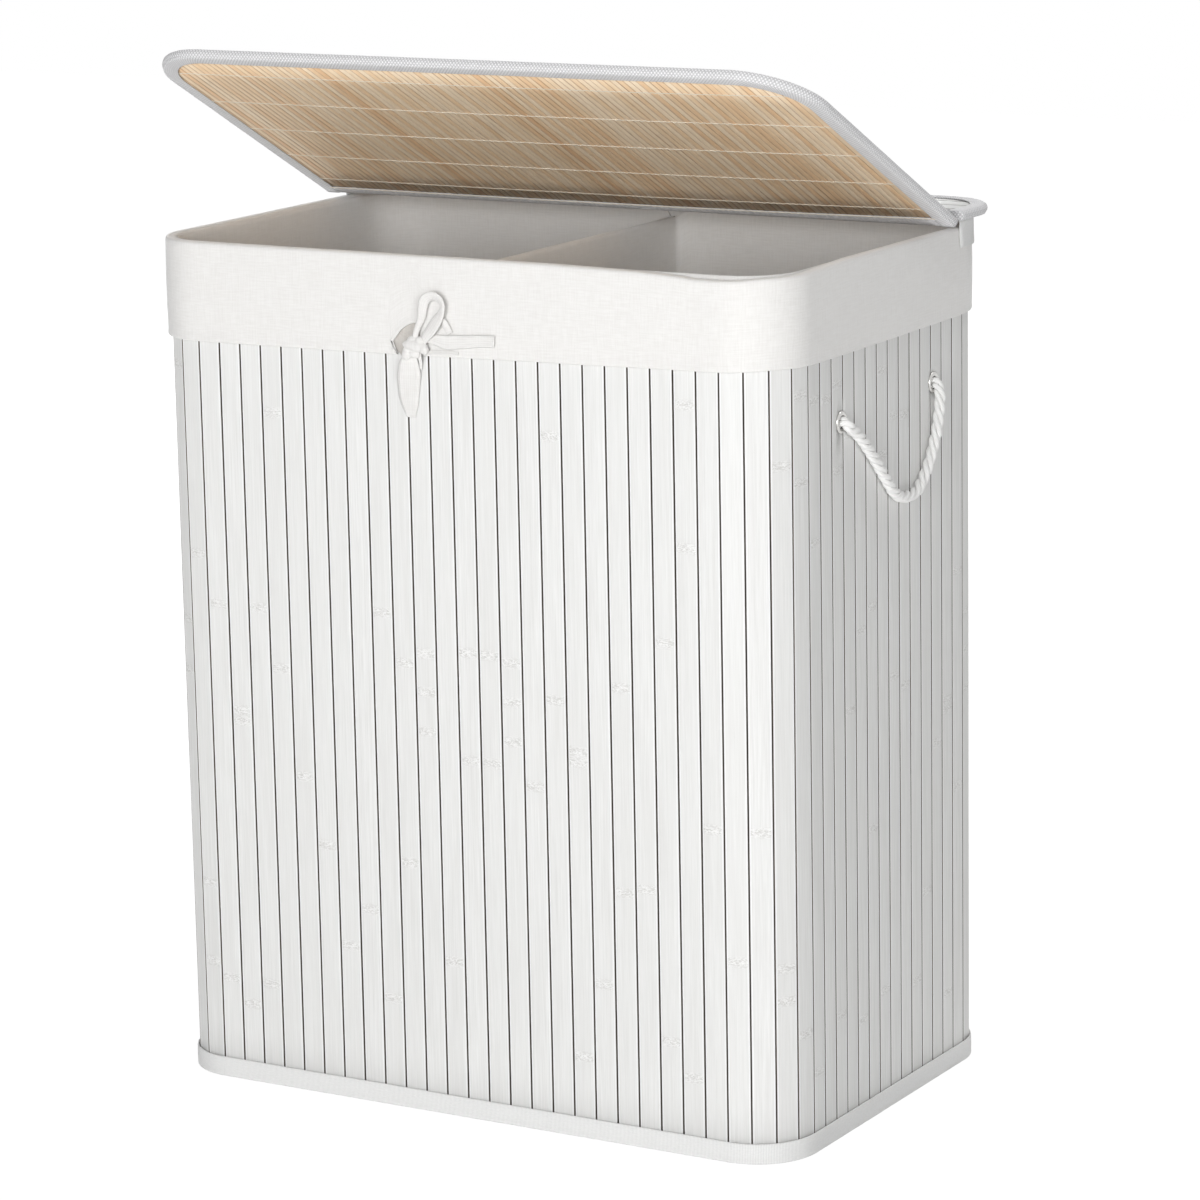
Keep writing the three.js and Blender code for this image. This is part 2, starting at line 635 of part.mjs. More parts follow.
function buildCovers(hamper) {
  const flap = new THREE.Group();
  flap.position.set(0, hingeFromCentre, hingeHeight);
  buildCover(flap, 'flap', flapWidth, flapLength, flapCornerRadius, 0);
  hamper.add(flap);
  const lidHinge = new THREE.Group();
  lidHinge.position.copy(flap.position);
  lidHinge.rotation.x = -THREE.MathUtils.degToRad(lidOpenDegrees);
  const lid = new THREE.Group();
  lid.rotation.z = Math.PI;
  lid.position.z = -lidDrop;
  buildCover(lid, 'lid', lidWidth, lidLength, lidCornerRadius, lidDrop);
  lidHinge.add(lid);
  hamper.add(lidHinge);
  const skirtIn = cuffOut + seatGap;
  const skirtFoot = rimHeight - skirtBelowRim;
  const skirtTop = rimHeight + flapRise - seatGap;
  const skirtSection = [
    [skirtIn, skirtFoot], [skirtIn + skirtCloth, skirtFoot],
    [skirtIn + skirtCloth, skirtTop], [skirtIn, skirtTop],
  ];
  const start = hingeFromCentre + skirtSetBack;
  const places = rearPlaces(bodyWidth, bodyDepth / 2, cornerRadius, start);
  addPiece(hamper, 'rear_skirt', sweep(places, skirtSection, false), edging);
}

const hamper = new THREE.Group();
buildSlatBody(hamper);
buildEdgings(hamper);
buildBase(hamper);
buildLiner(hamper);
buildHandles(hamper);
buildTie(hamper);
buildCovers(hamper);

export default hamper;
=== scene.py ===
import json
import math
import random

import bmesh
import bpy
import numpy as np
from mathutils import Matrix, Vector, noise

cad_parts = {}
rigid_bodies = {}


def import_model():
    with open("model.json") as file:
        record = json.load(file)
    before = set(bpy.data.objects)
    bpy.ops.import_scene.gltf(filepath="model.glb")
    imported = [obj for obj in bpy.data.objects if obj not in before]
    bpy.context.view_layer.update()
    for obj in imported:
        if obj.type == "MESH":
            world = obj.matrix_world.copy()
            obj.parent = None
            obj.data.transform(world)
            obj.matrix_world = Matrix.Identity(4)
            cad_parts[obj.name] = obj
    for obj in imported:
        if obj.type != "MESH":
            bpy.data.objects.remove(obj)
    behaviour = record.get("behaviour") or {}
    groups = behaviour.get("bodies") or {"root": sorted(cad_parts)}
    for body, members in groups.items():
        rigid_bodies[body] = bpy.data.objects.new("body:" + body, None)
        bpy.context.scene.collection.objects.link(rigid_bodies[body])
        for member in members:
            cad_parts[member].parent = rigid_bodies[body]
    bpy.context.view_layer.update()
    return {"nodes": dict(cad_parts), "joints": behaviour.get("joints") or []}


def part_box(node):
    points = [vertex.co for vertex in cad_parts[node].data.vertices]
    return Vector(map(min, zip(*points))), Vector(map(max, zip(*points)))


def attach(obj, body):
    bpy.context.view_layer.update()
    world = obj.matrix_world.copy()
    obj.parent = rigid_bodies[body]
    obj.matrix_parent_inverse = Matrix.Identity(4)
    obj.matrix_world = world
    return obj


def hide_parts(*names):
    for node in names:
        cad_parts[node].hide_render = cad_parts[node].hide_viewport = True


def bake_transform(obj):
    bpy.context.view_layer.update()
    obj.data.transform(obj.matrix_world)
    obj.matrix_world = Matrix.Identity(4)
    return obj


# Laundry hamper with two bins: white-washed bamboo slats on cloth, a cotton liner turned down over
# the rim, a lid and a fixed rear flap bound in tape, and a twisted rope handle on each short side.
# x runs along the front, y from front to rear and z up. Sizes are in metres, written in millimetres.
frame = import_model()
scene = bpy.context.scene
mm = 0.001

# Body, read from the frame where a node gives it
half_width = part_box("right_slat_panel")[1].x
half_depth = -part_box("front_slat_panel")[0].y
rim_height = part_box("liner_cuff")[1].z
hem_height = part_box("liner_cuff")[0].z
slat_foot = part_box("front_slat_panel")[0].z
# The wall ends a little under the fold of the cuff, which sags at the front right corner
fold_sag = 4.2 * mm
slat_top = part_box("front_slat_panel")[1].z - fold_sag
corner_radius = 45 * mm
corner_x = half_width - corner_radius
corner_y = half_depth - corner_radius
slat_thickness = 2 * mm
backing_thickness = 1 * mm
groove = 0.95 * mm
front_slats = 24
side_slats = 14
corner_slats = 4
slat_kinds = 24
step = 6 * mm

# Liner
bin_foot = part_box("right_bin_liner")[0].z
divider_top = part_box("bin_divider")[1].z
bin_inset = 5.8 * mm
cloth = 1 * mm

# Rope handles
eyelet_height = 520 * mm
eyelet_rise = 6 * mm
eyelet_half_spacing = 72 * mm
eyelet_hole_radius = 5.5 * mm
rope_diameter = 8 * mm
rope_plane = 265.4 * mm
rope_lay = 27 * mm

# Lid and flap, drawn in the cover's own plan: across, away from the hinge, and up from the hinge line
hinge = Vector(next(j for j in frame["joints"] if j["name"] == "lid_hinge")["pos_m"])
lid_open = math.radians(27.6)
lid_drop = 5.2 * mm
lid_size = (540 * mm, 277 * mm, 54 * mm)
flap_size = (544 * mm, 79.5 * mm, 50 * mm)
lid_half = lid_size[0] / 2
half_stitch = 2.65 * mm
cover_slat_pitch = 17.5 * mm
stick_width = 5.3 * mm
cover_slat_kinds = 6
stick_kinds = 12
lid_turn = Matrix.Translation(hinge) @ Matrix.Rotation(-lid_open, 4, "X")
lid_place = lid_turn @ Matrix.Translation((0, 0, -lid_drop)) @ Matrix.Rotation(math.pi, 4, "Z")
flap_place = Matrix.Translation(hinge)


# Camera, matched to the photograph
def make_camera():
    turn, pitch, roll = 0.532038, 0.212564, -0.018771
    look = Vector((-math.sin(turn) * math.cos(pitch), math.cos(turn) * math.cos(pitch), -math.sin(pitch)))
    flat_right = Vector((math.cos(turn), math.sin(turn), 0))
    flat_up = flat_right.cross(look)
    right = math.cos(roll) * flat_right + math.sin(roll) * flat_up
    up = math.cos(roll) * flat_up - math.sin(roll) * flat_right
    camera = bpy.data.objects.new("camera", bpy.data.cameras.new("camera"))
    scene.collection.objects.link(camera)
    camera.matrix_world = Matrix.Translation((1.713642, -2.874753, 1.074740)) @ Matrix(
        (
            (right.x, up.x, -look.x, 0),
            (right.y, up.y, -look.y, 0),
            (right.z, up.z, -look.z, 0),
            (0, 0, 0, 1),
        )
    )
    camera.data.sensor_width = 36
    camera.data.lens = 36 * 4616.680718 / 1200
    camera.data.clip_end = 60
    scene.camera = camera


# Nodes and colours
def linear(code):
    """A hex sRGB colour as linear light."""
    levels = [int(code[i : i + 2], 16) / 255 for i in (1, 3, 5)]
    return (*[c / 12.92 if c <= 0.04045 else ((c + 0.055) / 1.055) ** 2.4 for c in levels], 1.0)


def add_node(tree, kind, inputs=None, **settings):
    node = tree.nodes.new(kind)
    for name, value in settings.items():
        setattr(node, name, value)
    for key, value in (inputs or {}).items():
        if isinstance(value, bpy.types.NodeSocket):
            tree.links.new(value, node.inputs[key])
        else:
            node.inputs[key].default_value = value
    return node


def new_finish(name, **values):
    """An empty finish, with the values that are the same all over it set on its shader."""
    finish = bpy.data.materials.new(name)
    finish.use_nodes = True
    shader = finish.node_tree.nodes["Principled BSDF"]
    for key, value in values.items():
        shader.inputs[key.replace("_", " ")].default_value = value
    return finish, finish.node_tree, shader


def finish_with(tree, shader, colour, height, depth, strength):
    """Takes a finish's colour, and its relief of a real depth, to the shader."""
    relief = add_node(tree, "ShaderNodeBump", {"Height": height, "Distance": depth, "Strength": strength})
    tree.links.new(relief.outputs[0], shader.inputs["Normal"])
    tree.links.new(colour, shader.inputs["Base Color"])


# White-washed bamboo: split slats brushed with thin white paint. The eye sees a chalky white with
# faint upright grain, small wavy marks at the bamboo's knuckles, and a tone that changes by slat.
def painted_bamboo():
    finish, tree, shader = new_finish("white_washed_bamboo", Roughness=0.5, Specular_IOR_Level=0.35)
    place = add_node(tree, "ShaderNodeTexCoord").outputs["Object"]
    tone = add_node(tree, "ShaderNodeAttribute", attribute_name="slat_tone").outputs["Fac"]
    mark = add_node(tree, "ShaderNodeAttribute", attribute_name="node_mark").outputs["Fac"]
    edge = add_node(tree, "ShaderNodeAttribute", attribute_name="slat_edge_highlight").outputs["Fac"]
    bare_shaded_side = add_node(tree, "ShaderNodeAttribute", attribute_name="slat_bare_side_shade").outputs["Fac"]
    own = add_node(tree, "ShaderNodeMath", {0: tone, 1: 60.0}, operation="MULTIPLY").outputs[0]
    grain_place = add_node(tree, "ShaderNodeMapping", {"Vector": place, "Scale": (900.0, 900.0, 22.0)})
    grain = add_node(
        tree, "ShaderNodeTexNoise",
        {"Vector": grain_place.outputs[0], "W": own, "Scale": 1.0, "Detail": 4.0, "Roughness": 0.65},
        noise_dimensions="4D",
    ).outputs[0]
    blotch_place = add_node(tree, "ShaderNodeMapping", {"Vector": place, "Scale": (120.0, 120.0, 9.0)})
    blotch = add_node(
        tree, "ShaderNodeTexNoise",
        {"Vector": blotch_place.outputs[0], "W": own, "Scale": 1.0, "Detail": 2.0},
        noise_dimensions="4D",
    ).outputs[0]
    wave_place = add_node(tree, "ShaderNodeMapping", {"Vector": place, "Scale": (330.0, 330.0, 950.0)})
    ripple = add_node(
        tree, "ShaderNodeTexNoise",
        {"Vector": wave_place.outputs[0], "Scale": 1.0, "Detail": 1.0, "Distortion": 1.6},
    ).outputs[0]
    streak = add_node(
        tree, "ShaderNodeMapRange",
        {"Value": grain, "From Min": 0.32, "From Max": 0.68, "To Min": 0.0, "To Max": 1.0},
    ).outputs[0]
    painted = add_node(
        tree, "ShaderNodeMix", {"Factor": streak, 6: linear("#e0e0de"), 7: linear("#efefee")},
        data_type="RGBA",
    ).outputs[2]
    by_slat = add_node(
        tree, "ShaderNodeMapRange",
        {"Value": tone, "From Min": 0.0, "From Max": 1.0, "To Min": 0.0, "To Max": 0.45},
    ).outputs[0]
    toned = add_node(
        tree, "ShaderNodeMix", {"Factor": by_slat, 6: painted, 7: linear("#e3e3e1")}, data_type="RGBA"
    ).outputs[2]
    faded = add_node(
        tree, "ShaderNodeMapRange",
        {"Value": blotch, "From Min": 0.45, "From Max": 0.75, "To Min": 0.0, "To Max": 0.35},
    ).outputs[0]
    patchy = add_node(
        tree, "ShaderNodeMix", {"Factor": faded, 6: toned, 7: linear("#dbdad8")}, data_type="RGBA"
    ).outputs[2]
    wavy = add_node(
        tree, "ShaderNodeMapRange",
        {"Value": ripple, "From Min": 0.42, "From Max": 0.6, "To Min": 0.0, "To Max": 1.0},
    ).outputs[0]
    marked = add_node(tree, "ShaderNodeMath", {0: mark, 1: wavy}, operation="MULTIPLY").outputs[0]
    knuckle = add_node(
        tree, "ShaderNodeMix", {"Factor": wavy, 6: linear("#f6f6f5"), 7: linear("#cfcecb")}, data_type="RGBA"
    ).outputs[2]
    by_mark = add_node(tree, "ShaderNodeMath", {0: mark, 1: 0.75}, operation="MULTIPLY").outputs[0]
    rippled = add_node(
        tree, "ShaderNodeMix", {"Factor": by_mark, 6: patchy, 7: knuckle}, data_type="RGBA"
    ).outputs[2]
    # The face's rounded edges are painted near white: a painted highlight where the light catches them
    edge_highlit = add_node(
        tree, "ShaderNodeMix", {"Factor": edge, 6: rippled, 7: linear("#fbfbfb")}, data_type="RGBA"
    ).outputs[2]
    # The slats' narrow sides stay unpainted, and are coloured dark brown, darker than bare bamboo, as painted
    # shade that darkens the grooves
    colour = add_node(
        tree, "ShaderNodeMix", {"Factor": bare_shaded_side, 6: edge_highlit, 7: linear("#5b5045")}, data_type="RGBA"
    ).outputs[2]
    height = add_node(
        tree, "ShaderNodeMath", {0: marked, 1: -1.2, 2: grain}, operation="MULTIPLY_ADD"
    ).outputs[0]
    finish_with(tree, shader, colour, height, 0.16 * mm, 0.6)
    return finish


# Cotton scrim with dried glue, coloured darker than the cloth as painted shade, so that it shows as a dark
# grey-brown line in the grooves between the slats
def glued_scrim_in_shade():
    finish, tree, shader = new_finish("glued_cotton_scrim_in_shade", Roughness=0.85)
    place = add_node(tree, "ShaderNodeTexCoord").outputs["Object"]
    across = add_node(tree, "ShaderNodeMapping", {"Vector": place, "Scale": (600.0, 600.0, 600.0)})
    weave = add_node(tree, "ShaderNodeTexNoise", {"Vector": across.outputs[0], "Scale": 1.0}).outputs[0]
    colour = add_node(
        tree, "ShaderNodeMix", {"Factor": weave, 6: linear("#393029"), 7: linear("#584c42")}, data_type="RGBA"
    ).outputs[2]
    finish_with(tree, shader, colour, weave, 0.2 * mm, 0.5)
    return finish


# Woven cloths share this: threads of a real spacing both ways, with slubs, on the piece's own UV map.
# The threads are drawn about twice as coarse as the real ones, so that they show in a render.
def woven(name, light, dark, thread, slub, depth, roughness, sheen=0.25, slub_length=14 * mm):
    finish, tree, shader = new_finish(name, Roughness=roughness, Sheen_Weight=sheen, Specular_IOR_Level=0.25)
    cloth_map = add_node(tree, "ShaderNodeUVMap", uv_map="cloth").outputs[0]
    along = add_node(
        tree, "ShaderNodeTexWave", {"Vector": cloth_map, "Scale": math.pi / (10 * thread), "Distortion": 0.6},
        bands_direction="X",
    ).outputs["Fac"]
    across = add_node(
        tree, "ShaderNodeTexWave", {"Vector": cloth_map, "Scale": math.pi / (10 * thread), "Distortion": 0.6},
        bands_direction="Y",
    ).outputs["Fac"]
    warp_place = add_node(
        tree, "ShaderNodeMapping", {"Vector": cloth_map, "Scale": (0.8 / thread, 1 / slub_length, 1.0)}
    )
    weft_place = add_node(
        tree, "ShaderNodeMapping", {"Vector": cloth_map, "Scale": (1 / slub_length, 0.8 / thread, 1.0)}
    )
    warp = add_node(
        tree, "ShaderNodeTexNoise", {"Vector": warp_place.outputs[0], "Scale": 1.0, "Detail": 2.0}
    ).outputs[0]
    weft = add_node(
        tree, "ShaderNodeTexNoise", {"Vector": weft_place.outputs[0], "Scale": 1.0, "Detail": 2.0}
    ).outputs[0]
    crossing = add_node(tree, "ShaderNodeMath", {0: along, 1: across}, operation="ADD").outputs[0]
    slubs = add_node(tree, "ShaderNodeMath", {0: warp, 1: weft}, operation="ADD").outputs[0]
    uneven = add_node(
        tree, "ShaderNodeMapRange",
        {"Value": slubs, "From Min": 0.75, "From Max": 1.25, "To Min": 0.0, "To Max": slub},
    ).outputs[0]
    shade = add_node(
        tree, "ShaderNodeMath", {0: crossing, 1: (1 - slub) / 2, 2: uneven}, operation="MULTIPLY_ADD"
    ).outputs[0]
    colour = add_node(
        tree, "ShaderNodeMix", {"Factor": shade, 6: linear(dark), 7: linear(light)}, data_type="RGBA"
    ).outputs[2]
    height = add_node(
        tree, "ShaderNodeMath", {0: slubs, 1: 1.6, 2: crossing}, operation="MULTIPLY_ADD"
    ).outputs[0]
    finish_with(tree, shader, colour, height, depth, 0.5)
    return finish


# Ribbed tape: polyester grosgrain, woven with raised ribs across its length
def grosgrain(name, light, dark, rib):
    finish, tree, shader = new_finish(name, Roughness=0.7, Sheen_Weight=0.3, Specular_IOR_Level=0.3)
    tape_map = add_node(tree, "ShaderNodeUVMap", uv_map="cloth").outputs[0]
    ribs = add_node(
        tree, "ShaderNodeTexWave",
        {"Vector": tape_map, "Scale": math.pi / (10 * rib), "Distortion": 0.8, "Detail": 1.0},
        bands_direction="X",
    ).outputs["Fac"]
    rough_place = add_node(tree, "ShaderNodeMapping", {"Vector": tape_map, "Scale": (350.0, 900.0, 1.0)})
    fuzz = add_node(
        tree, "ShaderNodeTexNoise", {"Vector": rough_place.outputs[0], "Scale": 1.0, "Detail": 3.0}
    ).outputs[0]
    both = add_node(tree, "ShaderNodeMath", {0: fuzz, 1: 0.8, 2: ribs}, operation="MULTIPLY_ADD").outputs[0]
    shade = add_node(
        tree, "ShaderNodeMapRange",
        {"Value": both, "From Min": 0.2, "From Max": 1.5, "To Min": 0.0, "To Max": 1.0},
    ).outputs[0]
    colour = add_node(
        tree, "ShaderNodeMix", {"Factor": shade, 6: linear(dark), 7: linear(light)}, data_type="RGBA"
    ).outputs[2]
    finish_with(tree, shader, colour, both, 0.18 * mm, 0.6)
    return finish


# Herringbone tape: cotton twill whose slanting threads turn back at each row, seen as a fine dotted weave
def herringbone():
    finish, tree, shader = new_finish(
        "herringbone_cotton_tape", Roughness=0.8, Sheen_Weight=0.3, Specular_IOR_Level=0.3
    )
    tape_map = add_node(tree, "ShaderNodeUVMap", uv_map="cloth").outputs[0]
    thread = 2.0 * mm
    leans = []
    for turn in (1, -1):
        leaning = add_node(
            tree, "ShaderNodeMapping", {"Vector": tape_map, "Rotation": (0.0, 0.0, turn * math.radians(40))}
        )
        leans.append(
            add_node(
                tree, "ShaderNodeTexWave",
                {"Vector": leaning.outputs[0], "Scale": math.pi / (10 * thread), "Distortion": 0.3},
                bands_direction="X",
            ).outputs["Fac"]
        )
    dots = add_node(tree, "ShaderNodeMath", {0: leans[0], 1: leans[1]}, operation="MULTIPLY").outputs[0]
    fuzz_place = add_node(tree, "ShaderNodeMapping", {"Vector": tape_map, "Scale": (500.0, 700.0, 1.0)})
    fuzz = add_node(
        tree, "ShaderNodeTexNoise", {"Vector": fuzz_place.outputs[0], "Scale": 1.0, "Detail": 2.0}
    ).outputs[0]
    shade = add_node(tree, "ShaderNodeMath", {0: fuzz, 1: 0.5, 2: dots}, operation="MULTIPLY_ADD").outputs[0]
    colour = add_node(
        tree, "ShaderNodeMix", {"Factor": shade, 6: linear("#b4b3b5"), 7: linear("#f6f6f7")}, data_type="RGBA"
    ).outputs[2]
    finish_with(tree, shader, colour, shade, 0.2 * mm, 0.5)
    return finish


# Natural bamboo strips, scraped and unpainted: straw to brown by strip, with fibres along each, and
# painted shade on the strips' sides, darker brown in the narrow gaps where they meet
def natural_bamboo():
    finish, tree, shader = new_finish("natural_bamboo_sticks", Roughness=0.48, Specular_IOR_Level=0.4)
    stick_map = add_node(tree, "ShaderNodeUVMap", uv_map="cloth").outputs[0]
    tone = add_node(tree, "ShaderNodeAttribute", attribute_name="stick_tone").outputs["Fac"]
    edge = add_node(tree, "ShaderNodeAttribute", attribute_name="stick_edge_shade").outputs["Fac"]
    own = add_node(tree, "ShaderNodeMath", {0: tone, 1: 90.0}, operation="MULTIPLY").outputs[0]
    fibre_place = add_node(tree, "ShaderNodeMapping", {"Vector": stick_map, "Scale": (11.0, 1100.0, 1.0)})
    fibre = add_node(
        tree, "ShaderNodeTexNoise",
        {"Vector": fibre_place.outputs[0], "W": own, "Scale": 1.0, "Detail": 4.0, "Roughness": 0.65},
        noise_dimensions="4D",
    ).outputs[0]
    mixed = add_node(
        tree, "ShaderNodeMath", {0: fibre, 1: 0.75, 2: tone}, operation="MULTIPLY_ADD"
    ).outputs[0]
    ramp = add_node(tree, "ShaderNodeValToRGB", {"Fac": mixed})
    stops = [(0.15, "#d5a87c"), (0.35, "#e5bb91"), (0.6, "#f0cda5"), (0.85, "#f5dab7"), (1.0, "#f9e5c9")]
    ramp.color_ramp.elements[0].position = stops[0][0]
    ramp.color_ramp.elements[0].color = linear(stops[0][1])
    ramp.color_ramp.elements[1].position = stops[-1][0]
    ramp.color_ramp.elements[1].color = linear(stops[-1][1])
    for position, code in stops[1:-1]:
        ramp.color_ramp.elements.new(position).color = linear(code)
    # How strongly the painted shade darkens the strips' sides, patchy along the fibres
    patchy = add_node(
        tree, "ShaderNodeMapRange",
        {"Value": fibre, "From Min": 0.35, "From Max": 0.65, "To Min": 0.9, "To Max": 0.2},
    ).outputs[0]
    shade_at_edge = add_node(tree, "ShaderNodeMath", {0: edge, 1: patchy}, operation="MULTIPLY").outputs[0]
    colour = add_node(
        tree, "ShaderNodeMix", {"Factor": shade_at_edge, 6: ramp.outputs[0], 7: linear("#9f744b")}, data_type="RGBA"
    ).outputs[2]
    finish_with(tree, shader, colour, fibre, 0.08 * mm, 0.4)
    return finish


# Twisted white cotton rope: soft, slightly hairy, with fine yarns that run nearly along the rope
def cotton_rope():
    finish, tree, shader = new_finish(
        "twisted_cotton_rope", Roughness=0.85, Sheen_Weight=0.4, Specular_IOR_Level=0.25
    )
    strand_map = add_node(tree, "ShaderNodeUVMap", uv_map="cloth").outputs[0]
    leaning = add_node(tree, "ShaderNodeMapping", {"Vector": strand_map, "Rotation": (0.0, 0.0, 0.5)})
    yarn_place = add_node(
        tree, "ShaderNodeMapping", {"Vector": leaning.outputs[0], "Scale": (110.0, 1500.0, 1.0)}
    )
    yarns = add_node(
        tree, "ShaderNodeTexNoise", {"Vector": yarn_place.outputs[0], "Scale": 1.0, "Detail": 3.0}
    ).outputs[0]
    shade = add_node(
        tree, "ShaderNodeMapRange",
        {"Value": yarns, "From Min": 0.3, "From Max": 0.7, "To Min": 0.0, "To Max": 1.0},
    ).outputs[0]
    colour = add_node(
        tree, "ShaderNodeMix", {"Factor": shade, 6: linear("#e9e8e6"), 7: linear("#fdfdfc")}, data_type="RGBA"
    ).outputs[2]
    finish_with(tree, shader, colour, yarns, 0.4 * mm, 0.6)
    return finish


# Sewing thread: spun cotton, matt and undyed
def sewing_thread():
    finish, tree, shader = new_finish("spun_sewing_thread", Roughness=0.75, Sheen_Weight=0.2)
    place = add_node(tree, "ShaderNodeTexCoord").outputs["Object"]
    fine = add_node(tree, "ShaderNodeMapping", {"Vector": place, "Scale": (2500.0, 2500.0, 2500.0)})
    twist = add_node(tree, "ShaderNodeTexNoise", {"Vector": fine.outputs[0], "Scale": 1.0}).outputs[0]
    colour = add_node(
        tree, "ShaderNodeMix", {"Factor": twist, 6: linear("#d9cdbb"), 7: linear("#f3ebdd")}, data_type="RGBA"
    ).outputs[2]
    finish_with(tree, shader, colour, twist, 0.1 * mm, 0.4)
    return finish


# Nickel-plated brass, pressed and barrel-polished: bright, with faint rubbing marks
def nickel_plate():
    finish, tree, shader = new_finish("nickel_plated_brass", Metallic=1.0)
    place = add_node(tree, "ShaderNodeTexCoord").outputs["Object"]
    marks_place = add_node(tree, "ShaderNodeMapping", {"Vector": place, "Scale": (1200.0, 400.0, 400.0)})
    marks = add_node(
        tree, "ShaderNodeTexNoise", {"Vector": marks_place.outputs[0], "Scale": 1.0, "Detail": 3.0}
    ).outputs[0]
    rough = add_node(
        tree, "ShaderNodeMapRange",
        {"Value": marks, "From Min": 0.3, "From Max": 0.7, "To Min": 0.14, "To Max": 0.3},
    ).outputs[0]
    tree.links.new(rough, shader.inputs["Roughness"])
    colour = add_node(
        tree, "ShaderNodeMix", {"Factor": marks, 6: linear("#b9b8b6"), 7: linear("#d6d5d2")}, data_type="RGBA"
    ).outputs[2]
    finish_with(tree, shader, colour, marks, 0.02 * mm, 0.3)
    return finish


# Hidden hard pieces: drawn steel rod, injection-moulded polypropylene, and pressed fibreboard
def plain_hard(name, light, dark, roughness, metallic, grit, relief):
    finish, tree, shader = new_finish(name, Roughness=roughness, Metallic=metallic)
    place = add_node(tree, "ShaderNodeTexCoord").outputs["Object"]
    fine = add_node(tree, "ShaderNodeMapping", {"Vector": place, "Scale": (1 / grit, 1 / grit, 1 / grit)})
    speck = add_node(
        tree, "ShaderNodeTexNoise", {"Vector": fine.outputs[0], "Scale": 1.0, "Detail": 4.0}
    ).outputs[0]
    colour = add_node(
        tree, "ShaderNodeMix", {"Factor": speck, 6: linear(dark), 7: linear(light)}, data_type="RGBA"
    ).outputs[2]
    finish_with(tree, shader, colour, speck, relief, 0.4)
    return finish


def make_finishes():
    return {
        "slats": painted_bamboo(),
        "scrim": glued_scrim_in_shade(),
        # Plain-woven cotton canvas of the liner: matt, warm white, with fine slubs both ways
        "liner": woven("cotton_canvas", "#f4f3f1", "#e6e4e1", 0.9 * mm, 0.5, 0.12 * mm, 0.9, 0.8),
        # Thin open-woven cotton tape of the tie: soft, slightly see-through white
        "tape": woven("open_cotton_tape", "#f1f0ee", "#e2e0dd", 0.8 * mm, 0.4, 0.15 * mm, 0.9, 0.6),
        # The same canvas, in the shade of the slit
        "casing": woven("shaded_cotton_casing", "#d8d4cf", "#c4bfb9", 0.9 * mm, 0.5, 0.15 * mm, 0.9),
        # Grey cotton hinge cloth: coarser weave that shows as salt and pepper
        "hinge": woven(
            "cotton_hinge_cloth", "#efeef0", "#bcbbbd", 1.1 * mm, 0.6, 0.25 * mm, 0.9, 0.2, 5 * mm
        ),
        # Non-woven base cloth: pressed white fibres
        "base": woven("pressed_fibre_cloth", "#dddcd9", "#c8c6c2", 1.6 * mm, 0.7, 0.15 * mm, 0.85),
        "binding": grosgrain("white_grosgrain_tape", "#f2f2f1", "#d9d9d8", 1.1 * mm),
        "edging": herringbone(),
        "bamboo": natural_bamboo(),
        "rope": cotton_rope(),
        "thread": sewing_thread(),
        "nickel": nickel_plate(),
        "steel": plain_hard("drawn_spring_steel", "#c2c2c2", "#9a9a9a", 0.35, 1.0, 0.8 * mm, 0.02 * mm),
        "plastic": plain_hard("moulded_polypropylene", "#c9c9c9", "#bdbdbd", 0.45, 0.0, 1.2 * mm, 0.03 * mm),
        "board": plain_hard("pressed_fibreboard", "#a98f6c", "#7d6547", 0.85, 0.0, 1.5 * mm, 0.1 * mm),
    }


# Meshes
def close_up(mesh):
    """Merges doubles and turns every face of a closed mesh outwards."""
    shape = bmesh.new()
    shape.from_mesh(mesh)
    bmesh.ops.remove_doubles(shape, verts=shape.verts, dist=1e-7)
    bmesh.ops.recalc_face_normals(shape, faces=shape.faces)
    for face in shape.faces:
        face.smooth = True
    shape.to_mesh(mesh)
    shape.free()


def new_object(name, mesh, finish=None):
    piece = bpy.data.objects.new(name, mesh)
    scene.collection.objects.link(piece)
    if finish:
        mesh.materials.append(finish)
    return piece


def keep_result(piece, modifier):
    """Keeps what a piece's modifier makes as its mesh."""
    graph = bpy.context.evaluated_depsgraph_get()
    mesh = bpy.data.meshes.new_from_object(piece.evaluated_get(graph))
    piece.modifiers.remove(modifier)
    piece.data = mesh


def settle(piece, body, slot, *nodes):
    """Rides a piece on a body and hides the nodes that it stands for; its slot is not used."""
    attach(piece, body)
    if nodes:
        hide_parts(*nodes)
    return piece


def closed_lengths(points):
    """Distance along a closed section at each of its points, ending with the way round."""
    points = np.asarray(points, float)
    steps = np.linalg.norm(np.roll(points, -1, axis=0) - points, axis=1)
    return np.concatenate([[0], np.cumsum(steps)])


def grid_mesh(name, rows, run_at, section_at, closed_run):
    """A closed skin over rows of points, one row at each place of a run, with a UV map in metres."""
    rows = np.asarray(rows, float)
    count, across = rows.shape[:2]
    faces = []
    corners = []
    for i in range(count if closed_run else count - 1):
        after = (i + 1) % count
        for j in range(across):
            beside = (j + 1) % across
            faces.append((i * across + j, after * across + j, after * across + beside, i * across + beside))
            corners += [
                (run_at[i], section_at[j]), (run_at[i + 1], section_at[j]),
                (run_at[i + 1], section_at[j + 1]), (run_at[i], section_at[j + 1]),
            ]
    if not closed_run:
        for end in (0, (count - 1) * across):
            faces.append(tuple(range(end, end + across)))
            corners += [(run_at[0], section_at[j]) for j in range(across)]
    mesh = bpy.data.meshes.new(name)
    mesh.from_pydata(rows.reshape(-1, 3).tolist(), [], faces)
    layer = mesh.uv_layers.new(name="cloth")
    layer.data.foreach_set("uv", np.asarray(corners, np.float32).ravel())
    close_up(mesh)
    return mesh


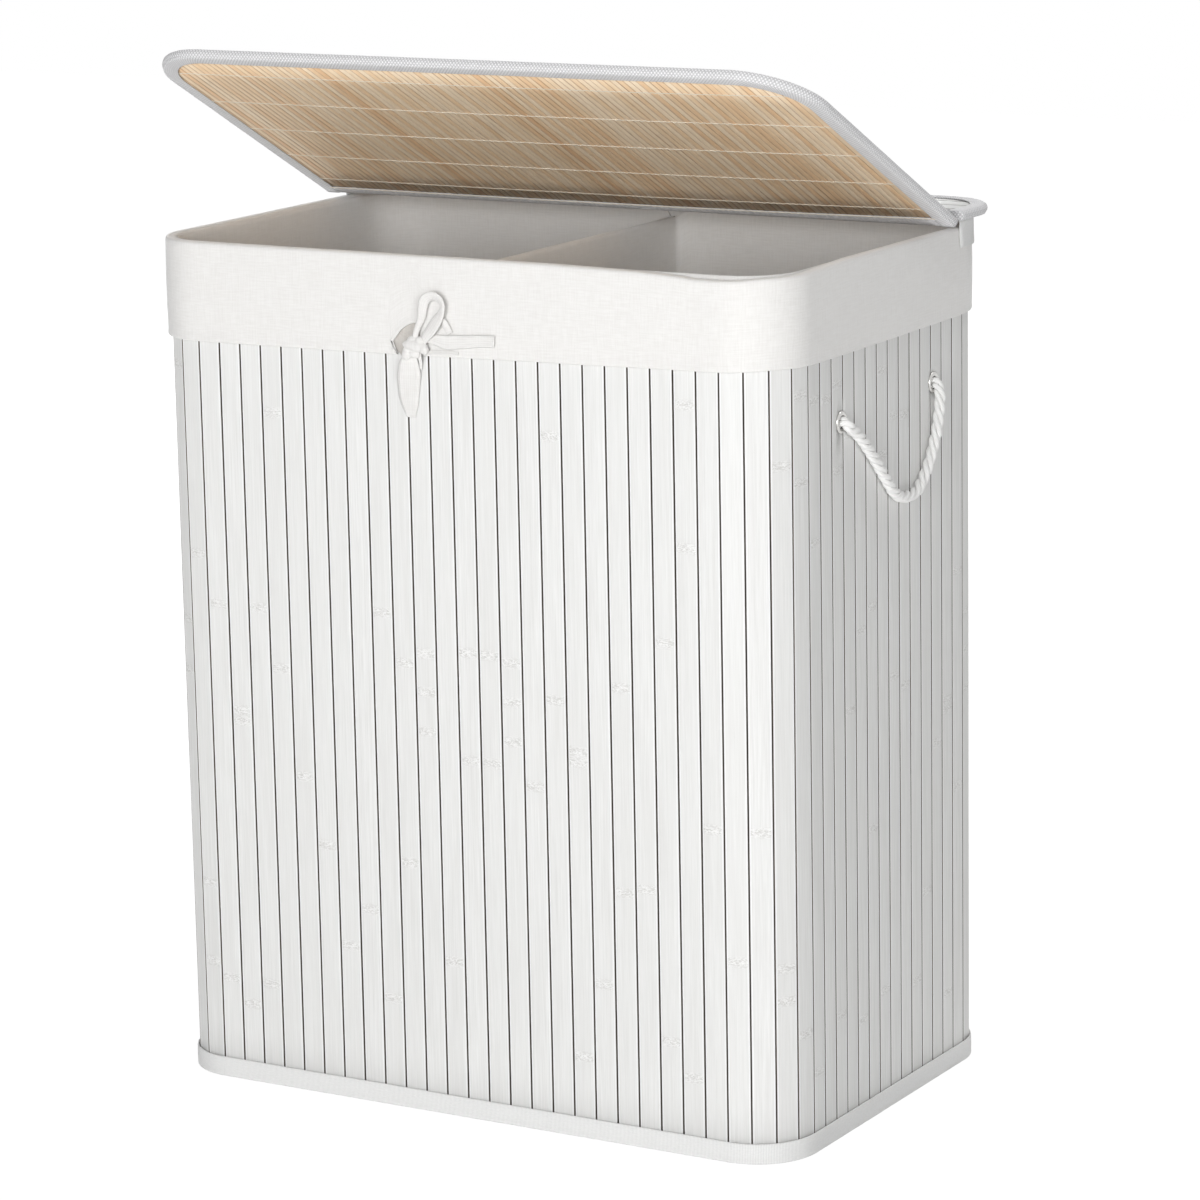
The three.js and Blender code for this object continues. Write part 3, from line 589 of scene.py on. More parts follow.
def outline_places(parts, spacing=step):
    """Places along lines and arcs, anticlockwise from above: x, y, outward normal x, y and distance run."""
    places = []
    run = 0.0
    for part in parts:
        if part[0] == "line":
            start, end = np.array(part[1]), np.array(part[2])
            length = np.linalg.norm(end - start)
            along = (end - start) / length
            steps = max(1, round(length / spacing))
            for i in range(steps):
                x, y = start + along * length * i / steps
                places.append((x, y, along[1], -along[0], run + length * i / steps))
        else:
            (cx, cy), radius, start, turn = part[1:]
            length = radius * abs(turn)
            steps = max(8, round(length / spacing * 1.6))
            for i in range(steps):
                angle = start + turn * i / steps
                nx, ny = math.cos(angle), math.sin(angle)
                places.append((cx + radius * nx, cy + radius * ny, nx, ny, run + length * i / steps))
        run += length
    return np.array(places), run


def body_parts(inset=0.0):
    """The rounded outline of the body as lines and arcs, from the left end of the front."""
    w, d, r = half_width - inset, half_depth - inset, corner_radius - inset
    cx, cy, quarter = corner_x, corner_y, math.pi / 2
    return [
        ("line", (-cx, -d), (cx, -d)), ("arc", (cx, -cy), r, -quarter, quarter),
        ("line", (w, -cy), (w, cy)), ("arc", (cx, cy), r, 0, quarter),
        ("line", (cx, d), (-cx, d)), ("arc", (-cx, cy), r, quarter, quarter),
        ("line", (-w, cy), (-w, -cy)), ("arc", (-cx, -cy), r, 2 * quarter, quarter),
    ]


def cover_parts(width, length, radius, start):
    """A cover's outline, open at the hinge: right side, far corners and left side."""
    w = width / 2
    quarter = math.pi / 2
    return [
        ("line", (w, start), (w, length - radius)),
        ("arc", (w - radius, length - radius), radius, 0, quarter),
        ("line", (w - radius, length), (radius - w, length)),
        ("arc", (radius - w, length - radius), radius, quarter, quarter),
        ("line", (-w, length - radius), (-w, start)),
    ]


def open_places(parts, spacing=step):
    """Places along an open outline, its last point included."""
    places, run = outline_places(parts, spacing)
    x, y = parts[-1][2]
    last = places[-1]
    return np.vstack([places, (x, y, last[2], last[3], run)]), run


def swept_mesh(name, places, run, section, closed, shape=None):
    """Sweeps a section of outward distance and height along places; shape may bend it at each place."""
    rows = []
    for x, y, nx, ny, s in places:
        points = shape(s, x, y, section) if shape else section
        rows.append([(x + out * nx, y + out * ny, up) for out, up in points])
    run_at = np.append(places[:, 4], run)
    return grid_mesh(name, rows, run_at, closed_lengths(section), closed)


def in_mm(points):
    return [tuple(value * mm for value in point) for point in points]


def smooth_line(points, spacing):
    """A Catmull-Rom curve through points, as points a spacing apart."""
    points = [Vector(p) for p in points]
    points = [2 * points[0] - points[1]] + points + [2 * points[-1] - points[-2]]
    dense = []
    for a, b, c, d in zip(points, points[1:], points[2:], points[3:]):
        for i in range(24):
            t = i / 24
            square = (2 * a - 5 * b + 4 * c - d) * t**2
            cube = (3 * b - a - 3 * c + d) * t**3
            dense.append(0.5 * (2 * b + (c - a) * t + square + cube))
    dense.append(points[-2])
    return even_line(dense, spacing)


def even_line(dense, spacing):
    dense = np.array([tuple(p) for p in dense])
    run = np.concatenate([[0], np.cumsum(np.linalg.norm(np.diff(dense, axis=0), axis=1))])
    count = max(3, round(run[-1] / spacing) + 1)
    at = np.linspace(0, run[-1], count)
    return np.stack([np.interp(at, run, dense[:, k]) for k in range(3)], axis=1), run[-1]


def wander(*place):
    """Smooth noise from -1 to 1, the same on every run."""
    return noise.noise(Vector((place + (0.37, 0.61, 0.83))[:3]))


# Growing repeated pieces with geometry nodes
def new_tree(name, inputs):
    tree = bpy.data.node_groups.new(name, "GeometryNodeTree")
    tree.interface.new_socket("Geometry", in_out="OUTPUT", socket_type="NodeSocketGeometry")
    for key, kind in {"Geometry": "Geometry", **inputs}.items():
        tree.interface.new_socket(key, in_out="INPUT", socket_type="NodeSocket" + kind)
    start = tree.nodes.new("NodeGroupInput")
    return tree, start.outputs


def end_tree(tree, geometry, finish):
    """Ends a tree with real geometry in its finish."""
    real = add_node(tree, "GeometryNodeRealizeInstances", {"Geometry": geometry})
    painted = add_node(tree, "GeometryNodeSetMaterial", {"Geometry": real.outputs[0], "Material": finish})
    end = tree.nodes.new("NodeGroupOutput")
    tree.links.new(painted.outputs[0], end.inputs[0])


def grow(name, base, tree, values):
    """Runs a tree over a base mesh and keeps what it makes as a plain mesh."""
    source = new_object(name + "_source", base)
    modifier = source.modifiers.new("grow", "NODES")
    modifier.node_group = tree
    for socket in tree.interface.items_tree:
        if socket.in_out == "INPUT" and socket.name in values:
            modifier[socket.identifier] = values[socket.name]
    graph = bpy.context.evaluated_depsgraph_get()
    mesh = bpy.data.meshes.new_from_object(source.evaluated_get(graph))
    bpy.data.objects.remove(source)
    mesh.name = name
    return mesh


def line_mesh(name, points):
    mesh = bpy.data.meshes.new(name)
    mesh.from_pydata([tuple(p) for p in points], [(i, i + 1) for i in range(len(points) - 1)], [])
    return mesh


def slat_run_tree():
    """Slats side by side along a path, each one of the blanks picked at random and turned with the path."""
    tree, given = new_tree(
        "slat_run",
        {"Slats": "Int", "Blanks": "Collection", "Kinds": "Int", "Seed": "Int", "Finish": "Material"},
    )
    path = add_node(tree, "GeometryNodeMeshToCurve", {"Mesh": given["Geometry"]}).outputs[0]
    index = tree.nodes.new("GeometryNodeInputIndex").outputs[0]
    middle = add_node(tree, "ShaderNodeMath", {0: index, 1: 0.5}, operation="ADD").outputs[0]
    share = add_node(tree, "ShaderNodeMath", {0: middle, 1: given["Slats"]}, operation="DIVIDE").outputs[0]
    on_path = add_node(tree, "GeometryNodeSampleCurve", {"Curves": path, "Factor": share}, mode="FACTOR")
    points = add_node(
        tree, "GeometryNodePoints", {"Count": given["Slats"], "Position": on_path.outputs["Position"]}
    ).outputs[0]
    aim = add_node(tree, "ShaderNodeSeparateXYZ", {0: on_path.outputs["Tangent"]})
    angle = add_node(
        tree, "ShaderNodeMath", {0: aim.outputs[1], 1: aim.outputs[0]}, operation="ARCTAN2"
    ).outputs[0]
    # The turn is stored on the points, because the path can't be sampled once they stand alone
    held = add_node(
        tree, "GeometryNodeStoreNamedAttribute", {"Geometry": points, "Name": "turn", "Value": angle},
        data_type="FLOAT", domain="POINT",
    ).outputs[0]
    turn = add_node(tree, "GeometryNodeInputNamedAttribute", {"Name": "turn"}, data_type="FLOAT").outputs[0]
    rotation = add_node(tree, "ShaderNodeCombineXYZ", {2: turn}).outputs[0]
    last_kind = add_node(tree, "ShaderNodeMath", {0: given["Kinds"], 1: 1.0}, operation="SUBTRACT").outputs[0]
    kind = add_node(
        tree, "FunctionNodeRandomValue", {4: 0, 5: last_kind, "Seed": given["Seed"]}, data_type="INT"
    ).outputs[2]
    blanks = add_node(
        tree, "GeometryNodeCollectionInfo",
        {"Collection": given["Blanks"], "Separate Children": True, "Reset Children": True},
    ).outputs[0]
    slats = add_node(
        tree, "GeometryNodeInstanceOnPoints",
        {"Points": held, "Instance": blanks, "Pick Instance": True, "Instance Index": kind,
         "Rotation": rotation},
    ).outputs[0]
    tone = add_node(
        tree, "FunctionNodeRandomValue", {2: 0.0, 3: 1.0, "Seed": given["Seed"]}, data_type="FLOAT"
    ).outputs[1]
    toned = add_node(
        tree, "GeometryNodeStoreNamedAttribute",
        {"Geometry": slats, "Name": "slat_tone", "Value": tone},
        data_type="FLOAT", domain="INSTANCE",
    ).outputs[0]
    end_tree(tree, toned, given["Finish"])
    return tree


def cover_strip_tree():
    """Strips side by side across a cover, each cut to the cover's rounded outline by scaling its length."""
    tree, given = new_tree(
        "cover_strips",
        {"Strips": "Int", "Pitch": "Float", "First": "Float", "Straight": "Float", "Reach": "Float",
         "Corner": "Float", "Blanks": "Collection", "Kinds": "Int", "Seed": "Int", "Tone": "String",
         "Group width": "Float", "Finish": "Material"},
    )
    index = tree.nodes.new("GeometryNodeInputIndex").outputs[0]
    across = add_node(
        tree, "ShaderNodeMath", {0: index, 1: given["Pitch"], 2: given["First"]}, operation="MULTIPLY_ADD"
    ).outputs[0]
    position = add_node(tree, "ShaderNodeCombineXYZ", {0: across}).outputs[0]
    points = add_node(tree, "GeometryNodePoints", {"Count": given["Strips"], "Position": position}).outputs[0]
    last_kind = add_node(tree, "ShaderNodeMath", {0: given["Kinds"], 1: 1.0}, operation="SUBTRACT").outputs[0]
    kind = add_node(
        tree, "FunctionNodeRandomValue", {4: 0, 5: last_kind, "Seed": given["Seed"]}, data_type="INT"
    ).outputs[2]
    blanks = add_node(
        tree, "GeometryNodeCollectionInfo",
        {"Collection": given["Blanks"], "Separate Children": True, "Reset Children": True},
    ).outputs[0]
    strips = add_node(
        tree, "GeometryNodeInstanceOnPoints",
        {"Points": points, "Instance": blanks, "Pick Instance": True, "Instance Index": kind},
    ).outputs[0]
    # Sticks cut from one cane lie together, so part of the tone changes slowly across the cover
    where = tree.nodes.new("GeometryNodeInputPosition").outputs[0]
    place = add_node(tree, "ShaderNodeSeparateXYZ", {0: where}).outputs[0]
    group = add_node(
        tree, "ShaderNodeMath", {0: place, 1: given["Group width"]}, operation="DIVIDE"
    ).outputs[0]
    drift = add_node(
        tree, "ShaderNodeTexNoise", {"W": group, "Scale": 1.0, "Detail": 2.0}, noise_dimensions="1D"
    ).outputs[0]
    shifted = add_node(tree, "ShaderNodeMath", {0: drift, 1: -0.25}, operation="ADD").outputs[0]
    own = add_node(
        tree, "FunctionNodeRandomValue", {2: 0.0, 3: 1.0, "Seed": given["Seed"]}, data_type="FLOAT"
    ).outputs[1]
    tone = add_node(
        tree, "ShaderNodeMath", {0: own, 1: 0.45, 2: shifted}, operation="MULTIPLY_ADD"
    ).outputs[0]
    toned = add_node(
        tree, "GeometryNodeStoreNamedAttribute",
        {"Geometry": strips, "Name": given["Tone"], "Value": tone},
        data_type="FLOAT", domain="INSTANCE",
    ).outputs[0]
    real = add_node(tree, "GeometryNodeRealizeInstances", {"Geometry": toned}).outputs[0]
    spot = add_node(tree, "ShaderNodeSeparateXYZ", {0: where})
    far = add_node(tree, "ShaderNodeMath", {0: spot.outputs[0]}, operation="ABSOLUTE").outputs[0]
    past = add_node(tree, "ShaderNodeMath", {0: far, 1: given["Straight"]}, operation="SUBTRACT").outputs[0]
    into = add_node(tree, "ShaderNodeMath", {0: past, 1: 0.0}, operation="MAXIMUM").outputs[0]
    into_squared = add_node(tree, "ShaderNodeMath", {0: into, 1: into}, operation="MULTIPLY").outputs[0]
    corner_squared = add_node(
        tree, "ShaderNodeMath", {0: given["Corner"], 1: given["Corner"]}, operation="MULTIPLY"
    ).outputs[0]
    left = add_node(
        tree, "ShaderNodeMath", {0: corner_squared, 1: into_squared}, operation="SUBTRACT"
    ).outputs[0]
    kept = add_node(tree, "ShaderNodeMath", {0: left, 1: 0.0}, operation="MAXIMUM").outputs[0]
    rounding = add_node(tree, "ShaderNodeMath", {0: kept}, operation="SQRT").outputs[0]
    limit = add_node(tree, "ShaderNodeMath", {0: rounding, 1: given["Reach"]}, operation="ADD").outputs[0]
    length = add_node(tree, "ShaderNodeMath", {0: spot.outputs[1], 1: limit}, operation="MULTIPLY").outputs[0]
    moved = add_node(
        tree, "ShaderNodeCombineXYZ", {0: spot.outputs[0], 1: length, 2: spot.outputs[2]}
    ).outputs[0]
    cut = add_node(tree, "GeometryNodeSetPosition", {"Geometry": real, "Position": moved}).outputs[0]
    end_tree(tree, cut, given["Finish"])
    return tree


def zigzag_tree():
    """A zigzag stitch of round thread along a line."""
    tree, given = new_tree(
        "zigzag_stitch",
        {"Half stitch": "Float", "Side": "Vector", "Thread": "Float", "Finish": "Material"},
    )
    path = add_node(tree, "GeometryNodeMeshToCurve", {"Mesh": given["Geometry"]}).outputs[0]
    stops = add_node(
        tree, "GeometryNodeResampleCurve", {"Curve": path, "Length": given["Half stitch"]}, mode="LENGTH"
    ).outputs[0]
    index = tree.nodes.new("GeometryNodeInputIndex").outputs[0]
    odd = add_node(tree, "ShaderNodeMath", {0: index, 1: 2.0}, operation="MODULO").outputs[0]
    swing = add_node(tree, "ShaderNodeMath", {0: odd, 1: 2.0, 2: -1.0}, operation="MULTIPLY_ADD").outputs[0]
    offset = add_node(
        tree, "ShaderNodeVectorMath", {0: given["Side"], "Scale": swing}, operation="SCALE"
    ).outputs[0]
    bent = add_node(tree, "GeometryNodeSetPosition", {"Geometry": stops, "Offset": offset}).outputs[0]
    ring = add_node(
        tree, "GeometryNodeCurvePrimitiveCircle", {"Resolution": 5, "Radius": given["Thread"]}
    ).outputs[0]
    thread = add_node(
        tree, "GeometryNodeCurveToMesh", {"Curve": bent, "Profile Curve": ring, "Fill Caps": True}
    ).outputs[0]
    end_tree(tree, thread, given["Finish"])
    return tree


def keep_blanks(name, meshes):
    """A collection of blanks for a tree to pick from."""
    group = bpy.data.collections.new(name)
    scene.collection.children.link(group)
    for number, mesh in enumerate(meshes):
        group.objects.link(bpy.data.objects.new(f"{name}_{number:02d}", mesh))
    return group


def drop_blanks(group):
    for blank in list(group.objects):
        bpy.data.objects.remove(blank)
    bpy.data.collections.remove(group)


def store_values(mesh, values):
    """Stores lists of a value for each point, where the points are still as they were given."""
    for name, numbers in values.items():
        if len(mesh.vertices) == len(numbers):
            mesh.attributes.new(name, "FLOAT", "POINT").data.foreach_set("value", numbers)


# Slatted wall
def slat_blank(number, width):
    """One upright slat: a crowned face with crisp edges, a slight wander, and bamboo knuckles."""
    half = width / 2
    chance = random.Random(70 + number)
    knuckles = [chance.uniform(0.06, 0.94) * slat_top for _ in range(1 + number % 3)]
    levels = list(np.linspace(slat_foot, slat_top, 15))
    for knuckle in knuckles:
        levels += [knuckle + rise * mm for rise in (-5, -3.4, -1.2, 1.2, 3.4, 5)]
    rows = []
    marks = []
    edges = []
    sides = []
    for level in sorted(min(v, slat_top) for v in levels):
        sway = 0.04 * mm * wander(number * 3.1, level * 5, 1.0)
        slim = 0.03 * mm * (1 + wander(number * 2.3, level * 5, 4.0))
        bow = 0.1 * mm * wander(number * 4.7, level * 7, 8.0)
        mark = max([0.0] + [min(1, 1.45 - 1.45 * abs(level - k) / (5 * mm)) for k in knuckles])
        bump = 0.12 * mm * mark
        h = half - slim
        left_side = [
            (-h, slat_thickness), (-h, 0.32 * mm), (-h + 0.1 * mm, 0.12 * mm), (-h + 0.3 * mm, 0.0),
            (-h + 0.95 * mm, -0.04 * mm), (-h + 1.5 * mm, -0.06 * mm - bump), (-h * 0.45, -0.1 * mm - bump),
        ]
        section = left_side + [(0, -0.12 * mm - bump)] + [(-x, y) for x, y in reversed(left_side)]
        rows.append([(x + sway, y + (bow if y < 1 * mm else 0), level) for x, y in section])
        marks += [mark] * len(section)
        # Weight of the painted highlight along the face's rounded edges, at each point of the section
        edges += [1, 1, 1, 1, 0.8, 0, 0, 0, 0, 0, 0.8, 1, 1, 1, 1]
        # Weight of the dark narrow sides: bare bamboo, darkened further as painted shade in the grooves
        sides += [1, 1, 0.9, 0.15] + [0] * 7 + [0.15, 0.9, 1, 1]
    mesh = grid_mesh(
        f"slat_blank_{number:02d}", rows, np.arange(len(rows) + 1), closed_lengths(section), False
    )
    store_values(mesh, {"node_mark": marks, "slat_edge_highlight": edges, "slat_bare_side_shade": sides})
    return mesh


def slat_runs():
    """Each flat side and corner of the wall, with its path from above and its count of slats."""
    half_facet = (corner_radius * math.pi / 2 / corner_slats - groove) / 2
    facet_radius = math.sqrt(corner_radius**2 - half_facet**2)
    quarter = math.pi / 2
    cx, cy = corner_x, corner_y

    def arc(x, y, start):
        angles = [start + quarter * i / 32 for i in range(33)]
        return [(x + facet_radius * math.cos(a), y + facet_radius * math.sin(a), 0) for a in angles]

    w, d = half_width, half_depth
    return {
        "front_slats": ([(-cx, -d, 0), (cx, -d, 0)], front_slats, "front_slat_panel"),
        "front_right_corner": (arc(cx, -cy, -quarter), corner_slats, "front_right_corner_slats"),
        "right_slats": ([(w, -cy, 0), (w, cy, 0)], side_slats, "right_slat_panel"),
        "rear_right_corner": (arc(cx, cy, 0), corner_slats, "rear_right_corner_slats"),
        "rear_slats": ([(cx, d, 0), (-cx, d, 0)], front_slats, "rear_slat_panel"),
        "rear_left_corner": (arc(-cx, cy, quarter), corner_slats, "rear_left_corner_slats"),
        "left_slats": ([(-w, cy, 0), (-w, -cy, 0)], side_slats, "left_slat_panel"),
        "front_left_corner": (arc(-cx, -cy, 2 * quarter), corner_slats, "front_left_corner_slats"),
    }


def height_of_eyelet(end):
    return eyelet_height + end * eyelet_rise / 2


def cut_eyelet_holes(piece):
    """Drills the two holes that the eyelets pass through."""
    side = 1 if piece.name.startswith("right") else -1
    for end in (-1, 1):
        drill = bpy.data.meshes.new("drill")
        shape = bmesh.new()
        turn = Matrix.Rotation(math.pi / 2, 4, "Y")
        place = Matrix.Translation((side * half_width, end * eyelet_half_spacing, height_of_eyelet(end)))
        bmesh.ops.create_cone(
            shape, cap_ends=True, segments=24, radius1=eyelet_hole_radius, radius2=eyelet_hole_radius,
            depth=12 * mm, matrix=place @ turn,
        )
        shape.to_mesh(drill)
        shape.free()
        cutter = new_object("drill", drill)
        cut = piece.modifiers.new("hole", "BOOLEAN")
        cut.operation = "DIFFERENCE"
        cut.solver = "EXACT"
        cut.object = cutter
        keep_result(piece, cut)
        bpy.data.objects.remove(cutter)
    return piece


def make_wall(finishes):
    tree = slat_run_tree()
    flat_pitch = 2 * corner_x / front_slats
    side_pitch = 2 * corner_y / side_slats
    corner_pitch = corner_radius * math.pi / 2 / corner_slats
    for kind, pitch in (("front", flat_pitch), ("side", side_pitch), ("corner", corner_pitch)):
        blanks = keep_blanks(f"{kind}_blank", [slat_blank(n, pitch - groove) for n in range(slat_kinds)])
        for number, (name, (path, count, node)) in enumerate(slat_runs().items()):
            if "corner" in name:
                of_kind = "corner"
            else:
                of_kind = "front" if name in ("front_slats", "rear_slats") else "side"
            if of_kind != kind:
                continue
            mesh = grow(
                name, line_mesh(name + "_path", path), tree,
                {"Slats": count, "Blanks": blanks, "Kinds": slat_kinds, "Seed": 11 + number,
                 "Finish": finishes["slats"]},
            )
            piece = new_object(name, mesh)
            if kind == "side":
                cut_eyelet_holes(piece)
            settle(piece, "body", "white_slats", node)
        drop_blanks(blanks)
    backing_section = [
        (-slat_thickness, slat_foot), (-slat_thickness, slat_top),
        (-slat_thickness - backing_thickness, slat_top), (-slat_thickness - backing_thickness, slat_foot),
    ]
    # The corner slats are flat, so the scrim steps back a little further behind them
    places, run = outline_places(body_parts(), 12 * mm)

    def behind(s, x, y, section):
        at_corner = abs(x) > corner_x and abs(y) > corner_y
        back = 0.75 * mm if at_corner else 0.0
        return [(out - back * 0.6, up) for out, up in section]

    mesh = swept_mesh("slat_backing", places, run, backing_section, True, behind)
    backing = settle(new_object("slat_backing", mesh, finishes["scrim"]), "body", "white_slats")


# Edging tapes of the wall
def make_bindings(finishes):
    places, run = outline_places(body_parts())
    foot_section = in_mm([
        (0.9, 0.0), (1.5, 0.35), (1.75, 1.2), (1.5, 1.75), (1.45, 2.0), (1.7, 2.6), (1.75, 8.0), (1.65, 13.6),
        (1.35, 14.8), (0.8, 15.1), (0.3, 14.9), (0.3, 1.3), (-3.3, 1.3), (-3.3, 15.0), (-4.3, 15.0),
        (-4.5, 14.5), (-4.5, 0.5), (-4.1, 0.0),
    ])

    def slack(s, x, y, section):
        rise = 0.28 * mm * wander(s * 14, 0.5, 3.0)
        puff = 0.18 * mm * wander(s * 30, 4.5, 3.0)
        return [
            (out + (puff if out > 1.2 * mm else 0), up + (rise if up > 13 * mm else 0))
            for out, up in section
        ]

    mesh = swept_mesh("bottom_binding_tape", places, run, foot_section, True, slack)
    foot = settle(
        new_object("bottom_binding_tape", mesh, finishes["binding"]), "body", "white_edging", "bottom_binding"
    )
    low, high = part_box("top_binding")[0].z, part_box("top_binding")[1].z - fold_sag
    top_section = [
        (1.2 * mm, low), (1.2 * mm, high - 0.3 * mm), (0.9 * mm, high), (-3.9 * mm, high),
        (-4.2 * mm, high - 0.3 * mm), (-4.2 * mm, low), (-3.3 * mm, low), (-3.3 * mm, high - 0.9 * mm),
        (0.3 * mm, high - 0.9 * mm), (0.3 * mm, low),
    ]
    mesh = swept_mesh("top_binding_tape", places, run, top_section, True)
    top = settle(
        new_object("top_binding_tape", mesh, finishes["binding"]), "body", "white_edging", "top_binding"
    )


# Base cloth, with a slight pucker where it is sewn in
def make_base_cloth(finishes):
    low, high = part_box("base_cloth")
    inset = half_width - high.x
    places, _ = outline_places(body_parts(inset), 12 * mm)
    rings = [1.0, 0.97, 0.9, 0.8, 0.65, 0.5, 0.35, 0.2, 0.06]
    points = []
    for top in (0, 1):
        for share in rings:
            for x, y, _, _, s in places:
                pucker = 0.18 * mm * (1 + wander(s * 40, share * 6, 5.0)) * min(1, (1 - share) * 12)
                points.append((x * share, y * share, (high.z - low.z - 0.4 * mm) * top + pucker))
    count = len(places)
    faces = []
    for top in (0, 1):
        start = top * len(rings) * count
        for ring in range(len(rings) - 1):
            for i in range(count):
                a = start + ring * count + i
                b = start + ring * count + (i + 1) % count
                faces.append((a, b, b + count, a + count))
        last = start + (len(rings) - 1) * count
        faces.append(tuple(range(last, last + count)))
    under = len(rings) * count
    for i in range(count):
        after = (i + 1) % count
        faces.append((i, after, under + after, under + i))
    mesh = bpy.data.meshes.new("base_cloth_panel")
    mesh.from_pydata(points, [], faces)
    layer = mesh.uv_layers.new(name="cloth")
    flat = np.array([points[mesh.loops[i].vertex_index][:2] for i in range(len(mesh.loops))], np.float32)
    layer.data.foreach_set("uv", flat.ravel())
    close_up(mesh)
    panel = settle(
        new_object("base_cloth_panel", mesh, finishes["base"]), "body", "white_edging", "base_cloth"
    )


# Cuff of the liner: turned over the rim, with a wavy hem and a slit for the tie
slit_left = -47.6 * mm
slit_right = -21.5 * mm


def hem_lift(x, y):
    """How far the hem is cut away above its line, at a place of the outline."""
    if y > -half_depth + 1 * mm or not slit_left < x < slit_right:
        return 0.0
    along = [-47.6, -46.6, -43.7, -40, -36.9, -31.2, -25.2, -23, -21.5]
    rise = [7.2, 8.6, 11.4, 16, 19.0, 22.1, 23.4, 20, 0]
    return float(np.interp(x / mm, along, rise)) * mm


def lean_slit_edge(mesh):
    """Pulls the cloth left of the slit over its lower part, so that the slit's edge leans."""
    reach = 18 * mm
    for vert in mesh.vertices:
        x, y, z = vert.co
        if y < -half_depth - 1.2 * mm and slit_left - reach < x < slit_left + 0.1 * mm and z < 567 * mm:
            near = 1 - (slit_left - x) / reach
            vert.co.x += 5.6 * mm * min(1, (567 * mm - z) / (7.5 * mm)) * near**2


def hem_drift(s):
    """The hem hangs low at the front left and rises round the right side, by distance round the body."""
    along = [0, 100, 215, 330, 430, 465, 501, 620, 740, 776, 811, 1000, 1241, 1312, 1430, 1552, 1600]
    drift = [-4.5, -3.6, -2.3, -0.2, 1.5, 2.6, 2.2, 3.0, 4.5, 6.0, 6.0, 3.0, 0.0, -2.0, -3.0, -4.0, -4.5]
    return float(np.interp(s / mm, along, drift)) * mm


def rim_drift(s):
    """The fold over the rim sags round the front right corner."""
    along = [0, 300, 370, 400, 412, 440, 460, 500, 560, 1600]
    drift = [0, 0, -1.2, -2.8, -4.0, -4.0, -2.6, -2.0, 0, 0]
    return float(np.interp(s / mm, along, drift)) * mm


def cuff_shape(s, x, y, section):
    at_corner = abs(x) > corner_x - 8 * mm and abs(y) > corner_y - 8 * mm
    hem = hem_height + hem_drift(s) + 0.6 * mm * wander(s * 13, 2.0, 1.0) + hem_lift(x, y)
    rim = rim_height + rim_drift(s)
    puff = 0.45 * mm * wander(s * 11, 7.0, 1.0)
    points = []
    for out, up in section:
        if out > 1.3 * mm and up < rim_height - 6 * mm:
            share = (up - hem_height) / (rim_height - hem_height)
            level = hem + share * (rim - hem)
            low = (1 - share) ** 2
            crease = 0.22 * mm * wander(s * 45, share * 4, 9.0)
            out += (0.8 * mm + puff) * math.sin(math.pi * min(1, share * 1.05)) * 0.6 + crease
            out += 0.5 * mm * low * (1 + wander(s * 24, 3.0, 6.0))
            if at_corner:
                out -= 0.5 * mm * (1 - share) ** 6
            up = level
        else:
            up += (rim - rim_height) * min(1, max(0, (up - rim_height + 30 * mm) / (24 * mm)))
        points.append((out, up))
    return points


def make_cuff(finishes):
    places, run = outline_places(body_parts(), 5 * mm)
    fine = [(x, -half_depth, 0.0, -1.0, x + corner_x) for x in np.arange(slit_left, slit_right, 0.8 * mm)]
    near = (places[:, 1] < -half_depth + 0.1 * mm) & (places[:, 0] > slit_left - 1 * mm)
    near &= places[:, 0] < slit_right + 1 * mm
    places = np.vstack([places[~near], fine])
    places = places[np.argsort(places[:, 4])]
    hem, rim = hem_height / mm, rim_height / mm
    section = in_mm([
        (1.5, hem + 0.5), (1.9, hem), (2.6, hem + 0.15), (3.0, hem + 0.9), (3.0, hem + 2.4), (2.7, hem + 4),
        (2.6, hem + 9), (2.55, hem + 18), (2.55, hem + 30), (2.55, hem + 42), (2.55, hem + 52),
        (2.6, rim - 8), (2.7, rim - 4.5), (2.65, rim - 2.2), (2.2, rim - 0.7), (1.2, rim - 0.05),
        (-0.5, rim + 0.1), (-3.2, rim + 0.1), (-4.6, rim - 0.1), (-5.4, rim - 0.8), (-5.7, rim - 2),
        (-5.6, rim - 5), (-5.5, rim - 12), (-5.5, rim - 30), (-4.6, rim - 30), (-4.6, rim - 12),
        (-4.5, rim - 1.4), (-4.0, rim - 1.0), (1.2, rim - 1.0), (1.6, rim - 1.4), (1.6, rim - 8),
        (1.55, hem + 40), (1.55, hem + 20), (1.6, hem + 4),
    ])
    mesh = swept_mesh("liner_cuff_cloth", places, run, section, True, cuff_shape)
    lean_slit_edge(mesh)
    cuff = settle(
        new_object("liner_cuff_cloth", mesh, finishes["liner"]), "body", "liner_cotton", "liner_cuff"
    )
    # Casing of the tie: a strip behind the slit, whose lower edge shows as a point under the hem
    columns = np.linspace(-49 * mm, -19 * mm, 25)
    rows = []
    for x in columns:
        point = max(0, 1 - abs(x + 36.5 * mm) / (5.5 * mm))
        low = 560.5 * mm - 5.9 * mm * point
        face = -half_depth - 0.75 * mm - 0.35 * mm * point
        levels = np.linspace(low, 590 * mm, 7)
        front = [(x, face - 0.15 * mm * math.sin(v * 400), v) for v in levels]
        back = [(x, face + 0.55 * mm, v) for v in levels[::-1]]
        rows.append(front + back)
    mesh = grid_mesh("tie_casing", rows, columns, closed_lengths([(p[1], p[2]) for p in rows[0]]), False)
    casing = settle(new_object("tie_casing", mesh, finishes["casing"]), "body", "liner_cotton")


